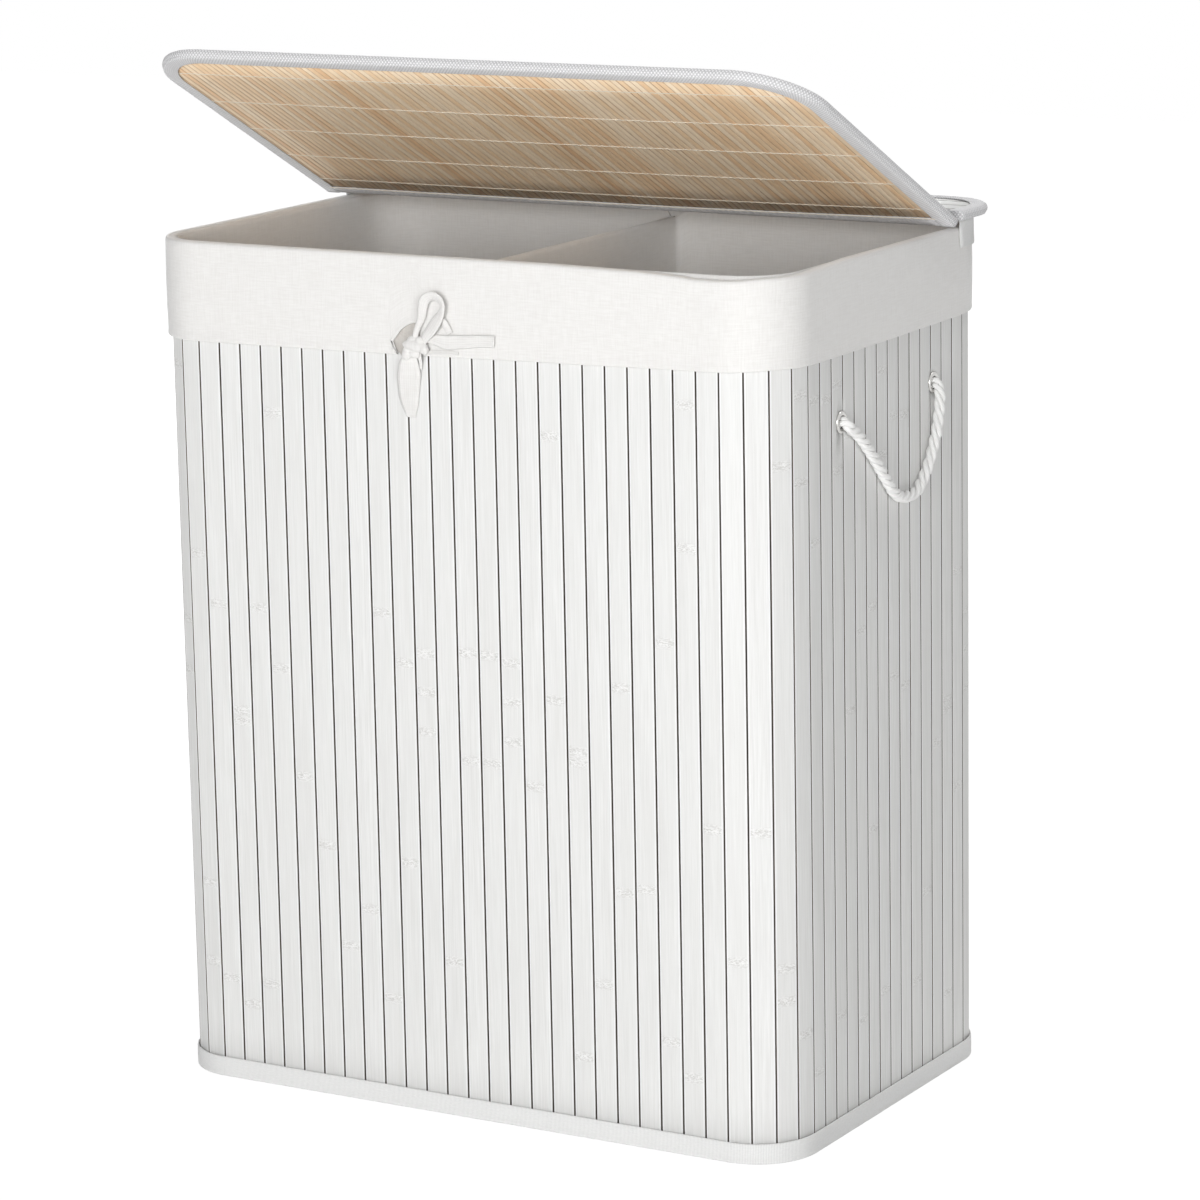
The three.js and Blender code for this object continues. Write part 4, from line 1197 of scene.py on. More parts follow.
# Bins: two bags side by side, with soft upright folds, pushed inwards over the rope knots
def bin_parts():
    """The rounded outline of the right bin as lines and arcs; the left one is its mirror image."""
    start = 0.9 * mm
    w, d, r = half_width - bin_inset, half_depth - bin_inset, corner_radius - bin_inset
    cx, cy, quarter = corner_x, corner_y, math.pi / 2
    tight = 5 * mm
    return [
        ("line", (start + tight, -d), (cx, -d)), ("arc", (cx, -cy), r, -quarter, quarter),
        ("line", (w, -cy), (w, cy)), ("arc", (cx, cy), r, 0, quarter),
        ("line", (cx, d), (start + tight, d)), ("arc", (start + tight, d - tight), tight, quarter, quarter),
        ("line", (start, d - tight), (start, tight - d)),
        ("arc", (start + tight, tight - d), tight, 2 * quarter, quarter),
    ]


def bin_push(side, s, run, x, y, z, top):
    """How far the bag's cloth stands in from its outline."""
    height = (z - bin_foot) / (top - bin_foot)
    slack = math.sin(math.pi * min(1, max(0, height)) ** 0.8) ** 0.7 if 0 < height < 1 else 0
    turns = 2 * math.pi * s / run
    fold = 1.1 * mm * (1 + math.sin(11 * turns + 2.0 * wander(z * 3, side, 1.0)))
    fold += 0.8 * mm * (1 + math.sin(19 * turns + 3 * wander(z * 4, side, 5.0)))
    fold += 1.0 * mm * (1 + wander(s * 18, z * 7, side * 3.0))
    push = slack * fold
    if x > corner_x + 10 * mm:
        for end in (-1, 1):
            away = math.hypot(y - end * eyelet_half_spacing, z - height_of_eyelet(end))
            push += 17 * mm * math.exp(-((away / (14 * mm)) ** 2))
    return push


def bin_top_at(x):
    """The bag's top edge: up at the rim, and a little under the divider's hem beside it."""
    dip = min(1, max(0, (x - 1.5 * mm) / (9 * mm)))
    dip = dip * dip * (3 - 2 * dip)
    return (divider_top - 0.6 * mm) * (1 - dip) + (rim_height - 1.3 * mm) * dip


def make_bin(side, name, node, finishes):
    places, run = outline_places(bin_parts(), 8 * mm)
    levels = [1.0, 0.994, 0.985, 0.97, 0.95, *np.linspace(0.93, 0.72, 22), *np.linspace(0.69, 0.05, 20)]
    levels += [0.02, 0.008, 0.0]
    centre = (half_width / 2, 0.0)
    rows = []
    for level in levels:
        row = []
        for x, y, nx, ny, s in places:
            top = bin_top_at(x)
            z = bin_foot + 1.2 * mm + level * (top - bin_foot - 1.2 * mm)
            push = bin_push(side, s, run, x, y, z, top)
            if level < 0.03:
                push += 6 * mm * (1 - level / 0.03) ** 2
            row.append((x - push * nx, y - push * ny, z))
        rows.append(row)
    for share in (0.93, 0.85, 0.72, 0.58, 0.43, 0.28, 0.12):
        row = []
        for x, y, z in rows[len(levels) - 1]:
            px = centre[0] + (x - centre[0]) * share
            py = centre[1] + (y - centre[1]) * share
            wrinkle = 0.7 * mm * (1 + wander(px * 22, py * 22, side * 2.0)) * min(1, (1 - share) * 5)
            row.append((px, py, bin_foot + 1.2 * mm + wrinkle))
        rows.append(row)
    count = len(places)
    points = [(side * x, y, z) for row in rows for x, y, z in row]
    faces = []
    for ring in range(len(rows) - 1):
        for i in range(count):
            after = (i + 1) % count
            here, below = ring * count, (ring + 1) * count
            quad = (here + i, here + after, below + after, below + i)
            faces.append(quad if side > 0 else quad[::-1])
    last = (len(rows) - 1) * count
    floor = tuple(range(last, last + count))
    faces.append(floor if side > 0 else floor[::-1])
    mesh = bpy.data.meshes.new(name)
    mesh.from_pydata(points, [], faces)
    layer = mesh.uv_layers.new(name="cloth")
    down = np.cumsum([0.0] + [np.linalg.norm(np.subtract(a[20], b[20])) for a, b in zip(rows, rows[1:])])
    run_at = np.append(places[:, 4], run)
    corners = []
    for face in mesh.polygons:
        spots = [(v // count, v % count) for v in face.vertices]
        columns = [i for _, i in spots]
        wraps = len(columns) == 4 and 0 in columns and count - 1 in columns
        corners += [(run_at[count if wraps and i == 0 else i], down[ring]) for ring, i in spots]
    layer.data.foreach_set("uv", np.asarray(corners, np.float32).ravel())
    shape = bmesh.new()
    shape.from_mesh(mesh)
    bmesh.ops.recalc_face_normals(shape, faces=shape.faces)
    for face in shape.faces:
        face.smooth = True
    shape.to_mesh(mesh)
    shape.free()
    bag = new_object(name, mesh, finishes["liner"])
    # An open bag's faces may all point in or out, so the wall grows to the inside by what they do
    outward = sum(1 if p.normal.xy.dot(Vector(p.center.xy) - Vector((side * centre[0], 0))) > 0 else -1
                  for p in mesh.polygons if abs(p.normal.z) < 0.3)
    wall = bag.modifiers.new("cloth", "SOLIDIFY")
    wall.thickness = cloth
    wall.offset = -1 if outward > 0 else 1
    wall.use_even_offset = False
    keep_result(bag, wall)
    close_up(bag.data)
    settle(bag, "body", "liner_cotton", node)


def make_divider(finishes):
    low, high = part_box("bin_divider")
    columns = np.linspace(low.y, high.y, 50)
    near_top = high.z - mm * np.array([11, 9, 8, 4, 1.2, 0.3])
    levels = np.concatenate([np.linspace(low.z, high.z - 14 * mm, 26), near_top])
    rows = []
    for y in columns:
        line = []
        for z in levels:
            share = (z - low.z) / (high.z - low.z)
            sway = 0.12 * mm * wander(y * 30, z * 18, 1.0)
            line.append((sway, z + 0.7 * mm * wander(y * 16, 2.0, 6.0) * share**8))
        front = []
        back = []
        for (sway, z), level in zip(line, levels):
            half = 0.6 * mm if level < high.z - 0.8 * mm else 0.3 * mm
            front.append((sway + half, y, z))
            back.append((sway - half, y, z))
        rows.append(front + back[::-1])
    mesh = grid_mesh(
        "bin_divider_cloth", rows, columns, closed_lengths([(p[0], p[2]) for p in rows[0]]), False
    )
    divider = settle(
        new_object("bin_divider_cloth", mesh, finishes["liner"]), "body", "liner_cotton", "bin_divider"
    )


# Tie: knot, loop and tails of thin tape on the front of the cuff
def tape_strip(name, line, across, widths, thickness, finish, curl=0.0):
    """A tape along a line of points; across and widths in mm are given at its ends and between, evenly."""
    points, length = smooth_line(line, 1.2 * mm)
    count = len(points)
    share = np.linspace(0, 1, count)
    known = np.linspace(0, 1, len(across))
    sideways = np.stack([np.interp(share, known, [a[k] for a in across]) for k in range(3)], axis=1)
    sideways /= np.linalg.norm(sideways, axis=1)[:, None]
    wide = np.interp(share, np.linspace(0, 1, len(widths)), [width * mm for width in widths])
    ahead = np.gradient(points, axis=0)
    ahead /= np.linalg.norm(ahead, axis=1)[:, None]
    facing = np.cross(ahead, sideways)
    facing /= np.linalg.norm(facing, axis=1)[:, None]
    rows = []
    for i in range(count):
        front = []
        back = []
        for j in range(7):
            t = j / 6 - 0.5
            ripple = 0.25 * mm * wander(i * 0.09, t * 3, len(name))
            depth = curl * (4 * t * t - 0.5) + ripple
            edge = 0.35 if abs(t) > 0.45 else 1.0
            spot = points[i] + sideways[i] * wide[i] * (t + 0.02 * wander(i * 0.15, t, 3.0))
            front.append(spot + facing[i] * (depth + edge * thickness / 2))
            back.append(spot + facing[i] * (depth - edge * thickness / 2))
        rows.append(front + back[::-1])
    run_at = np.append(share * length, length)
    return new_object(name, grid_mesh(name, rows, run_at, closed_lengths(rows[0]), False), finish)


def lump(shape, place, radii, lean):
    matrix = Matrix.Translation(place) @ Matrix.Rotation(lean, 4, "Y") @ Matrix.Diagonal((*radii, 1))
    bmesh.ops.create_icosphere(shape, subdivisions=3, radius=1.0, matrix=matrix)


def make_tie(finishes):
    cotton = finishes["tape"]
    face = -half_depth - 3.9 * mm

    def at(x, out, z):
        return (x * mm, face - out * mm, z * mm)

    loop = tape_strip(
        "tie_loop_tape",
        [at(-24.0, 2.4, 567.5), at(-24.2, 2.6, 574), at(-22.0, 2.6, 580.5), at(-18.8, 2.9, 587.2),
         at(-17.4, 3.4, 593.8), at(-15.6, 4.0, 599.0), at(-11.6, 4.6, 602.5), at(-6.3, 4.6, 603.3),
         at(-2.2, 4.2, 600.4), at(-1.4, 3.6, 595.0), at(-4.6, 3.0, 588.2), at(-10.0, 2.7, 580.6),
         at(-15.8, 2.8, 573.8), at(-19.8, 2.6, 567.8)],
        [(1, 0.25, 0.1), (0.9, 0.4, -0.3), (0.92, 0.35, -0.35), (0.95, 0.35, -0.2), (0.85, 0.4, -0.5),
         (0.3, 0.45, -0.9), (-0.4, 0.45, -0.9), (-0.9, 0.35, -0.4), (-0.95, 0.3, 0.3), (-0.8, 0.3, 0.6),
         (-0.75, 0.3, 0.65), (-0.8, 0.2, 0.5)],
        [3.6, 4.2, 4.8, 6.4, 7.4, 7.2, 7.6, 8.6, 9.4, 9.6, 8.4, 5.0],
        0.6 * mm, cotton, 0.5 * mm,
    )
    settle(loop, "body", "cotton_tape", "tie_loop")
    side_tail = tape_strip(
        "tie_side_tail_tape",
        [at(-19, 2.2, 570.5), at(-14, 1.9, 572.6), at(-8, 1.2, 571.8), at(-1, 0.7, 570.6), at(8, 0.5, 571.2),
         at(17, 0.7, 572.0), at(28, 0.4, 573.0), at(40, 0.9, 573.6)],
        [(0.1, 0.3, 1), (0, 0.2, 1), (0, 0.1, 1), (0, 0, 1), (0, 0, 1), (0, -0.1, 1), (0, 0, 1),
         (0.05, 0.1, 1)],
        [4.5, 6.2, 9.6, 10.4, 9.6, 9.0, 8.8, 8.7],
        0.6 * mm, cotton, 0.3 * mm,
    )
    settle(side_tail, "body", "cotton_tape", "tie_side_tail")
    down_tail = tape_strip(
        "tie_down_tail_tape",
        [at(-28, 1.8, 563), at(-30.8, 1.4, 556), at(-32.4, -0.6, 548.5), at(-34.0, -2.4, 539),
         at(-34.2, -2.8, 528), at(-33.0, -2.9, 514.5)],
        [(1, 0.2, 0), (1, 0.15, 0), (1, 0.05, 0), (1, 0, 0), (1, 0, 0), (1, 0, 0)],
        [8, 15, 19.5, 18, 15.0, 7],
        0.5 * mm, cotton, 0.15 * mm,
    )
    settle(down_tail, "body", "cotton_tape", "tie_down_tail")
    end_tab = tape_strip(
        "tie_tucked_end",
        [at(-5.5, 1.0, 588.0), at(-1.6, 1.3, 585.4), at(0.9, 1.0, 581.6), at(3.2, 0.5, 576.8)],
        [(-0.6, 0.2, -1), (-0.8, 0.1, -0.7), (-0.9, 0.1, -0.5)],
        [4.6, 5.4, 5.2], 0.6 * mm, cotton, 0.3 * mm,
    )
    settle(end_tab, "body", "cotton_tape")
    hem_strand = tape_strip(
        "tie_hem_strand",
        [at(-21.5, 1.6, 563.2), at(-15, 0.9, 562.6), at(-6, 0.6, 563.0), at(3, 0.4, 563.4),
         at(9.5, 0.2, 563.2)],
        [(0, 0.5, 1), (0, 0.4, 1), (0, 0.3, 1)],
        [2.8, 3.2, 3.0, 2.4], 0.9 * mm, cotton, 0.4 * mm,
    )
    settle(hem_strand, "body", "cotton_tape")
    short_strand = tape_strip(
        "tie_short_strand",
        [at(-21.8, 2.0, 564), at(-22.2, 1.0, 559), at(-22.8, -1.2, 555), at(-23.4, -2.2, 549.5)],
        [(1, 0.3, 0), (1, 0.2, 0)],
        [3.0, 2.6, 1.8], 0.8 * mm, cotton, 0.3 * mm,
    )
    settle(short_strand, "body", "cotton_tape")
    shape = bmesh.new()
    for x, out, z, radii, lean in (
        (-24.5, 3.2, 567.2, (10.2, 3.2, 4.3), 0.06), (-31.4, 2.6, 561.6, (3.9, 2.5, 6.4), 0.42),
        (-17.2, 3.0, 565.6, (3.6, 3.0, 4.4), -0.5), (-26.8, 2.6, 570.4, (4.0, 2.6, 3.6), 0.1),
        (-20.5, 2.9, 570.6, (3.4, 2.4, 3.4), -0.35), (-25.6, 2.6, 561.6, (4.6, 2.5, 3.8), 0.1),
    ):
        lump(shape, at(x, out, z), [r * mm for r in radii], lean)
    mesh = bpy.data.meshes.new("tie_knot_folds")
    shape.to_mesh(mesh)
    shape.free()
    knot = new_object("tie_knot_folds", mesh, cotton)
    merge = knot.modifiers.new("merge", "REMESH")
    merge.mode = "VOXEL"
    merge.voxel_size = 0.45 * mm
    keep_result(knot, merge)
    merged = knot.data
    shape = bmesh.new()
    shape.from_mesh(merged)
    layer = shape.loops.layers.uv.new("cloth")
    for vert in shape.verts:
        x, y, z = vert.co
        fold = math.sin((z * 0.9 + x * 0.35) * 1500) * 0.14 * mm
        fold += 0.2 * mm * wander(x * 110, y * 110, z * 110)
        vert.co += vert.normal * fold
    for face in shape.faces:
        face.smooth = True
        for corner in face.loops:
            corner[layer].uv = (corner.vert.co.x, corner.vert.co.z)
    shape.to_mesh(merged)
    shape.free()
    if not merged.materials:
        merged.materials.append(cotton)
    settle(knot, "body", "cotton_tape", "tie_knot")


# Rope handles: eyelets, stopper knots behind the wall, and three twisted strands
def lathe_mesh(name, profile, side, end):
    """Turns a profile of radius and outward distance round the eyelet's axis."""
    rows = []
    steps = 40
    for i in range(steps):
        angle = 2 * math.pi * i / steps
        rows.append([
            (side * (half_width + out), end * eyelet_half_spacing + radius * math.cos(angle),
             height_of_eyelet(end) + radius * math.sin(angle))
            for radius, out in profile
        ])
    return grid_mesh(name, rows, np.linspace(0, 0.04, steps + 1), closed_lengths(profile), True)


def rope_line(side):
    """The rope's middle line between its eyelets, as the source gives it."""
    route = [
        (-72, 0), (-68, -4.5), (-60, -9), (-50, -16.5), (-40, -25.5), (-28, -37), (-15, -50.5), (0, -65),
        (12, -70.5), (24, -72), (36, -70.5), (46, -63.5), (55, -54), (62, -43.5), (68.5, -30), (72.5, -15),
        (72, 0),
    ]
    slope = eyelet_rise / (2 * eyelet_half_spacing)
    return [(side * rope_plane, y * mm, eyelet_height + (z + slope * y) * mm) for y, z in route]


def strand_rows(points, phase, radius):
    """One strand of three: a lobed third of the rope's section that winds to the left round its middle."""
    points = np.asarray(points)
    ahead = np.gradient(points, axis=0)
    ahead /= np.linalg.norm(ahead, axis=1)[:, None]
    run = np.concatenate([[0], np.cumsum(np.linalg.norm(np.diff(points, axis=0), axis=1))])
    normal = np.array([0.0, 0.0, 1.0]) if abs(ahead[0][2]) < 0.7 else np.array([0.0, 1.0, 0.0])
    section = [
        (-58.5, 0.42), (-52, 0.64), (-40, 0.84), (-22, 1.0), (0, 1.07), (22, 1.0), (40, 0.84), (52, 0.64),
        (58.5, 0.42), (0, 0.1),
    ]
    rows = []
    for point, tangent, s in zip(points, ahead, run):
        normal = normal - tangent * np.dot(normal, tangent)
        normal /= np.linalg.norm(normal)
        beside = np.cross(tangent, normal)
        turn = phase - 2 * math.pi * s / rope_lay
        row = []
        for degrees, share in section:
            angle = turn + math.radians(degrees)
            row.append(point + radius * share * (normal * math.cos(angle) + beside * math.sin(angle)))
        rows.append(row)
    return rows, run


def rope_mesh(name, points, radius):
    meshes = []
    for strand in range(3):
        rows, run = strand_rows(points, 2 * math.pi * strand / 3, radius)
        meshes.append(grid_mesh(name, rows, np.append(run, run[-1]), closed_lengths(rows[0]), False))
    return join_meshes(name, meshes)


def join_meshes(name, meshes):
    shape = bmesh.new()
    for mesh in meshes:
        shape.from_mesh(mesh)
        bpy.data.meshes.remove(mesh)
    joined = bpy.data.meshes.new(name)
    shape.to_mesh(joined)
    shape.free()
    return joined


def make_handle(side, word, finishes):
    line = rope_line(side)
    inside = 259.9 * mm
    low, high = height_of_eyelet(-1), height_of_eyelet(1)
    bend = [
        (side * inside, -eyelet_half_spacing, low), (side * 262.6 * mm, -71.8 * mm, low - 0.2 * mm),
        (side * 265.0 * mm, -70.6 * mm, low - 1.8 * mm),
    ]
    far_bend = [
        (side * 265.3 * mm, 72.4 * mm, high - 5.5 * mm),
        (side * 262.6 * mm, eyelet_half_spacing, high - 0.5 * mm), (side * inside, eyelet_half_spacing, high),
    ]
    drawn, _ = smooth_line(bend + line[1:-1] + far_bend, 1.1 * mm)
    rope = new_object(f"{word}_rope", rope_mesh(f"{word}_rope", drawn, rope_diameter / 2), finishes["rope"])
    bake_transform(rope)
    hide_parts(f"{word}_handle_rope")
    eyelet_profile = in_mm([
        (4.45, -5.0), (4.7, -5.2), (6.2, -5.2), (6.4, -4.8), (6.2, -4.4), (5.2, -4.3), (5.2, 0.1),
        (7.7, 0.15), (8.05, 0.45), (7.95, 1.0), (7.3, 1.55), (6.3, 1.8), (5.3, 1.65), (4.65, 1.1),
        (4.45, 0.4),
    ])
    for end, place in ((-1, "front"), (1, "rear")):
        mesh = lathe_mesh(f"{word}_{place}_ring", eyelet_profile, side, end)
        ring = new_object(f"{word}_{place}_ring", mesh, finishes["nickel"])
        settle(ring, "body", "eyelet_metal", f"{word}_{place}_eyelet")
        centre = Vector((side * (half_width - 12.5 * mm), end * eyelet_half_spacing, height_of_eyelet(end)))
        turns = []
        for i in range(73):
            t = 2 * math.pi * i / 72
            turns.append((
                centre.x + side * 4.3 * mm * math.sin(3 * t),
                centre.y + 1.82 * mm * (math.sin(t) + 2 * math.sin(2 * t)),
                centre.z + 1.82 * mm * (math.cos(t) - 2 * math.cos(2 * t)),
            ))
        wound, _ = even_line(turns, 1.2 * mm)
        knot_mesh = rope_mesh("wound", wound, 2.5 * mm)
        stub, _ = even_line([centre, centre + Vector((side * 12.0 * mm, 0, 0))], 1.2 * mm)
        mesh = join_meshes(f"{word}_{place}_stopper", [knot_mesh, rope_mesh("stub", stub, rope_diameter / 2)])
        knot = new_object(f"{word}_{place}_stopper", mesh, finishes["rope"])
        settle(knot, "body", "white_rope", f"{word}_{place}_rope_knot")


# Lid and rear flap
def cover_slat_blank(number, width):
    """One slat across a cover: unit length both ways, crowned on top."""
    h = width / 2
    top, bottom = -1.3 * mm, -2.85 * mm
    rows = []
    sides = []
    for share in np.linspace(-1, 1, 13):
        sway = 0.1 * mm * wander(number * 5.0, share * 4, 1.0)
        lift = 0.08 * mm * wander(number * 3.0, share * 5, 7.0)
        section = [
            (-h, bottom), (-h, top - 0.7 * mm), (-h + 0.25 * mm, top - 0.3 * mm),
            (-h + 0.8 * mm, top - 0.05 * mm), (-h * 0.45, top + 0.1 * mm), (0, top + 0.14 * mm),
            (h * 0.45, top + 0.1 * mm), (h - 0.8 * mm, top - 0.05 * mm), (h - 0.25 * mm, top - 0.3 * mm),
            (h, top - 0.7 * mm), (h, bottom),
        ]
        rows.append([(x + sway, share, z + (lift if z > bottom else 0)) for x, z in section])
        # The narrow sides are dark: bare bamboo with painted shade in the gaps between the slats
        sides += [1, 1, 0.6, 0, 0, 0, 0, 0, 0.6, 1, 1]
    mesh = grid_mesh(f"cover_slat_{number}", rows, np.arange(14), closed_lengths(section), False)
    store_values(mesh, {"slat_bare_side_shade": sides})
    return mesh


def stick_blank(number, width):
    """One strip of the mat: rounded below, from the hinge to unit length."""
    h = width / 2
    top, bottom = -4.9 * mm, -6.1 * mm
    rows = []
    edges = []
    shares = np.linspace(0, 1, 7)
    for share in shares:
        sway = 0.09 * mm * wander(number * 5.0, share * 5, 2.0)
        g = h - 0.1 * mm * (1 + wander(number * 2.0, share * 4, 5.0))
        section = [
            (-g, top), (-g, -5.5 * mm), (-g + 0.3 * mm, -5.85 * mm), (-g + 0.9 * mm, -6.03 * mm), (0, bottom),
            (g - 0.9 * mm, -6.03 * mm), (g - 0.3 * mm, -5.85 * mm), (g, -5.5 * mm), (g, top),
        ]
        rows.append([(x + sway, share, z) for x, z in section])
        # The strips' sides are coloured darker: painted shade in the gaps between them
        edges += [1, 1, 0.6, 0, 0, 0, 0.6, 1, 1]
    mesh = grid_mesh(
        f"stick_{number}", rows, np.append(shares, 1) * lid_size[1], closed_lengths(section), False
    )
    store_values(mesh, {"stick_edge_shade": edges})
    return mesh


def prism_mesh(name, parts, low, high):
    """A flat plate with a rounded plan: the cloth between a cover's slats and its core board."""
    places, _ = open_places(parts, 10 * mm)
    outline = [(x, y) for x, y, _, _, _ in places]
    count = len(outline)
    points = [(x, y, low) for x, y in outline] + [(x, y, high) for x, y in outline]
    faces = [tuple(range(count)), tuple(range(count, 2 * count))]
    faces += [(i, (i + 1) % count, count + (i + 1) % count, count + i) for i in range(count)]
    mesh = bpy.data.meshes.new(name)
    mesh.from_pydata(points, [], faces)
    close_up(mesh)
    return mesh


def place_cover_piece(name, mesh, place, finish=None):
    mesh.transform(place)
    return new_object(name, mesh, finish)


def row_bow(x):
    """How far a stitch row leans away from the hinge towards the cover's ends, in the cover's plan."""
    return (2.0 if x > 0 else 6.0) * mm * (x / lid_half) ** 2


def make_cover(word, body, place, size, trees, finishes):
    width, length, radius = size
    strips, zigzag = trees
    edge = 1.1 * mm
    start = 1.35 * mm
    half = width / 2
    # Slats lie along the hinge; the tree lays them out away from it, so its plan is turned a quarter
    count = round((length - start) / cover_slat_pitch)
    pitch = (length - edge - start) / count
    blanks = keep_blanks(
        f"{word}_slat", [cover_slat_blank(n, pitch - 1.6 * mm) for n in range(cover_slat_kinds)]
    )
    quarter_turn = Matrix(((0, -1, 0, 0), (1, 0, 0, 0), (0, 0, 1, 0), (0, 0, 0, 1)))
    mesh = grow(
        f"{word}_slats", line_mesh("start", [(0, 0, 0), (0, 0, 0.01)]), strips,
        {"Strips": count, "Pitch": pitch, "First": start + pitch / 2, "Straight": length - radius,
         "Reach": half - radius, "Corner": radius - edge, "Blanks": blanks, "Kinds": cover_slat_kinds,
         "Seed": 5 + len(word),
         "Tone": "slat_tone", "Group width": 30 * mm, "Finish": finishes["slats"]},
    )
    mesh.transform(quarter_turn)
    slats = place_cover_piece(f"{word}_slats", mesh, place)
    settle(slats, body, "white_slats", f"{word}_slat_sheet")
    drop_blanks(blanks)
    plan = cover_parts(width - 2 * edge, length - edge, radius - edge, start)
    scrim = prism_mesh(f"{word}_slat_scrim", plan, -3.28 * mm, -2.86 * mm)
    backing = place_cover_piece(f"{word}_slat_scrim", scrim, place, finishes["scrim"])
    settle(backing, body, "white_slats")
    sticks = int((width - 2 * edge) / stick_width)
    blanks = keep_blanks(f"{word}_stick", [stick_blank(n, stick_width) for n in range(stick_kinds)])
    mesh = grow(
        f"{word}_mat", line_mesh("start", [(0, 0, 0), (0, 0, 0.01)]), strips,
        {"Strips": sticks, "Pitch": stick_width, "First": -(sticks - 1) * stick_width / 2,
         "Straight": half - radius, "Reach": length - radius, "Corner": radius - edge, "Blanks": blanks,
         "Kinds": stick_kinds, "Seed": 21 + len(word),
         "Tone": "stick_tone", "Group width": 22 * mm, "Finish": finishes["bamboo"]},
    )
    drop_blanks(blanks)
    for vert in mesh.vertices:
        vert.co.y = max(vert.co.y, start)
    mat = place_cover_piece(f"{word}_mat", mesh, place)
    settle(mat, body, "natural_bamboo", f"{word}_bamboo_mat")
    # Stitch rows across the mat, and one along the end of the hinge cloth
    rows = [10.2, 26.8, 76.5, 130.5, 185, 240] if word == "lid" else [10.2, 27, 56]
    stitches = []
    for row in rows:
        past = max(0.0, row * mm - (length - radius))
        reach = half - radius + math.sqrt(max(0, radius**2 - past**2)) - 10 * mm
        depth = -7.35 * mm if row < 12 else -6.2 * mm
        droop = [
            (x, row * mm + row_bow(x) + 0.5 * mm * wander(x * 9, row, 2.0), depth)
            for x in np.linspace(-reach, reach, 40)
        ]
        stitches.append(grow(
            "row", line_mesh("row_path", droop), zigzag,
            {"Half stitch": half_stitch, "Side": (0.0, 0.6 * mm, 0.0), "Thread": 0.32 * mm,
             "Finish": finishes["thread"]},
        ))
    mesh = join_meshes(f"{word}_stitches", stitches)
    thread = place_cover_piece(f"{word}_stitches", mesh, place, finishes["thread"])
    for polygon in mesh.polygons:
        polygon.use_smooth = True
    settle(thread, body, "white_edging")
    places, run = open_places(cover_parts(width, length, radius, 0.25 * mm), 5 * mm)
    section = in_mm([
        (-12.0, -0.9), (-12.1, -0.45), (-11.7, -0.2), (-9.4, -0.15), (-6, -0.02), (-3.2, 0.0), (-1.4, -0.25),
        (-0.2, -1.0), (0.5, -2.2), (0.65, -3.4), (0.45, -4.7), (-0.1, -5.6), (-0.55, -6.05), (-0.5, -6.3),
        (-0.9, -6.9), (-2.2, -7.3), (-5, -7.35), (-9, -7.3), (-11.6, -7.2), (-12.0, -6.95), (-11.9, -6.45),
        (-9, -6.4), (-2.0, -6.4), (-1.0, -6.1), (-1.0, -1.3), (-2.0, -1.0), (-9, -1.0),
    ])

    def sewn(s, x, y, points):
        puff = 0.22 * mm * wander(s * 26, 3.0, 2.0)
        wave = 0.5 * mm * wander(s * 15, 5.0, 2.0)
        bent = []
        for out, up in points:
            if out > -1.5 * mm and (up > -1.2 * mm or up < -6.2 * mm or out > -0.7 * mm):
                out += puff
            if out < -10.5 * mm:
                out += wave
            bent.append((out, up))
        return bent

    mesh = swept_mesh(f"{word}_edging_tape", places, run, section, False, sewn)
    # The tape's two ends are folded in over the end of the sheets
    folds = []
    for side in (-1, 1):
        across = [side * (half - out * mm) for out in (12.1, 9, 5, 1.2, 0.3)]
        plan = in_mm([(0.3, -0.9), (0.3, -6.5), (0.6, -6.9), (1.5, -6.9), (1.5, -0.5), (0.6, -0.5)])
        rows = [[(x, y, z) for y, z in plan] for x in across]
        folds.append(grid_mesh("fold", rows, np.append(np.abs(across), 0), closed_lengths(plan), False))
    mesh = join_meshes(f"{word}_edging_tape", [mesh] + folds)
    tape = place_cover_piece(f"{word}_edging_tape", mesh, place, finishes["edging"])
    settle(tape, body, "white_edging", f"{word}_edging")


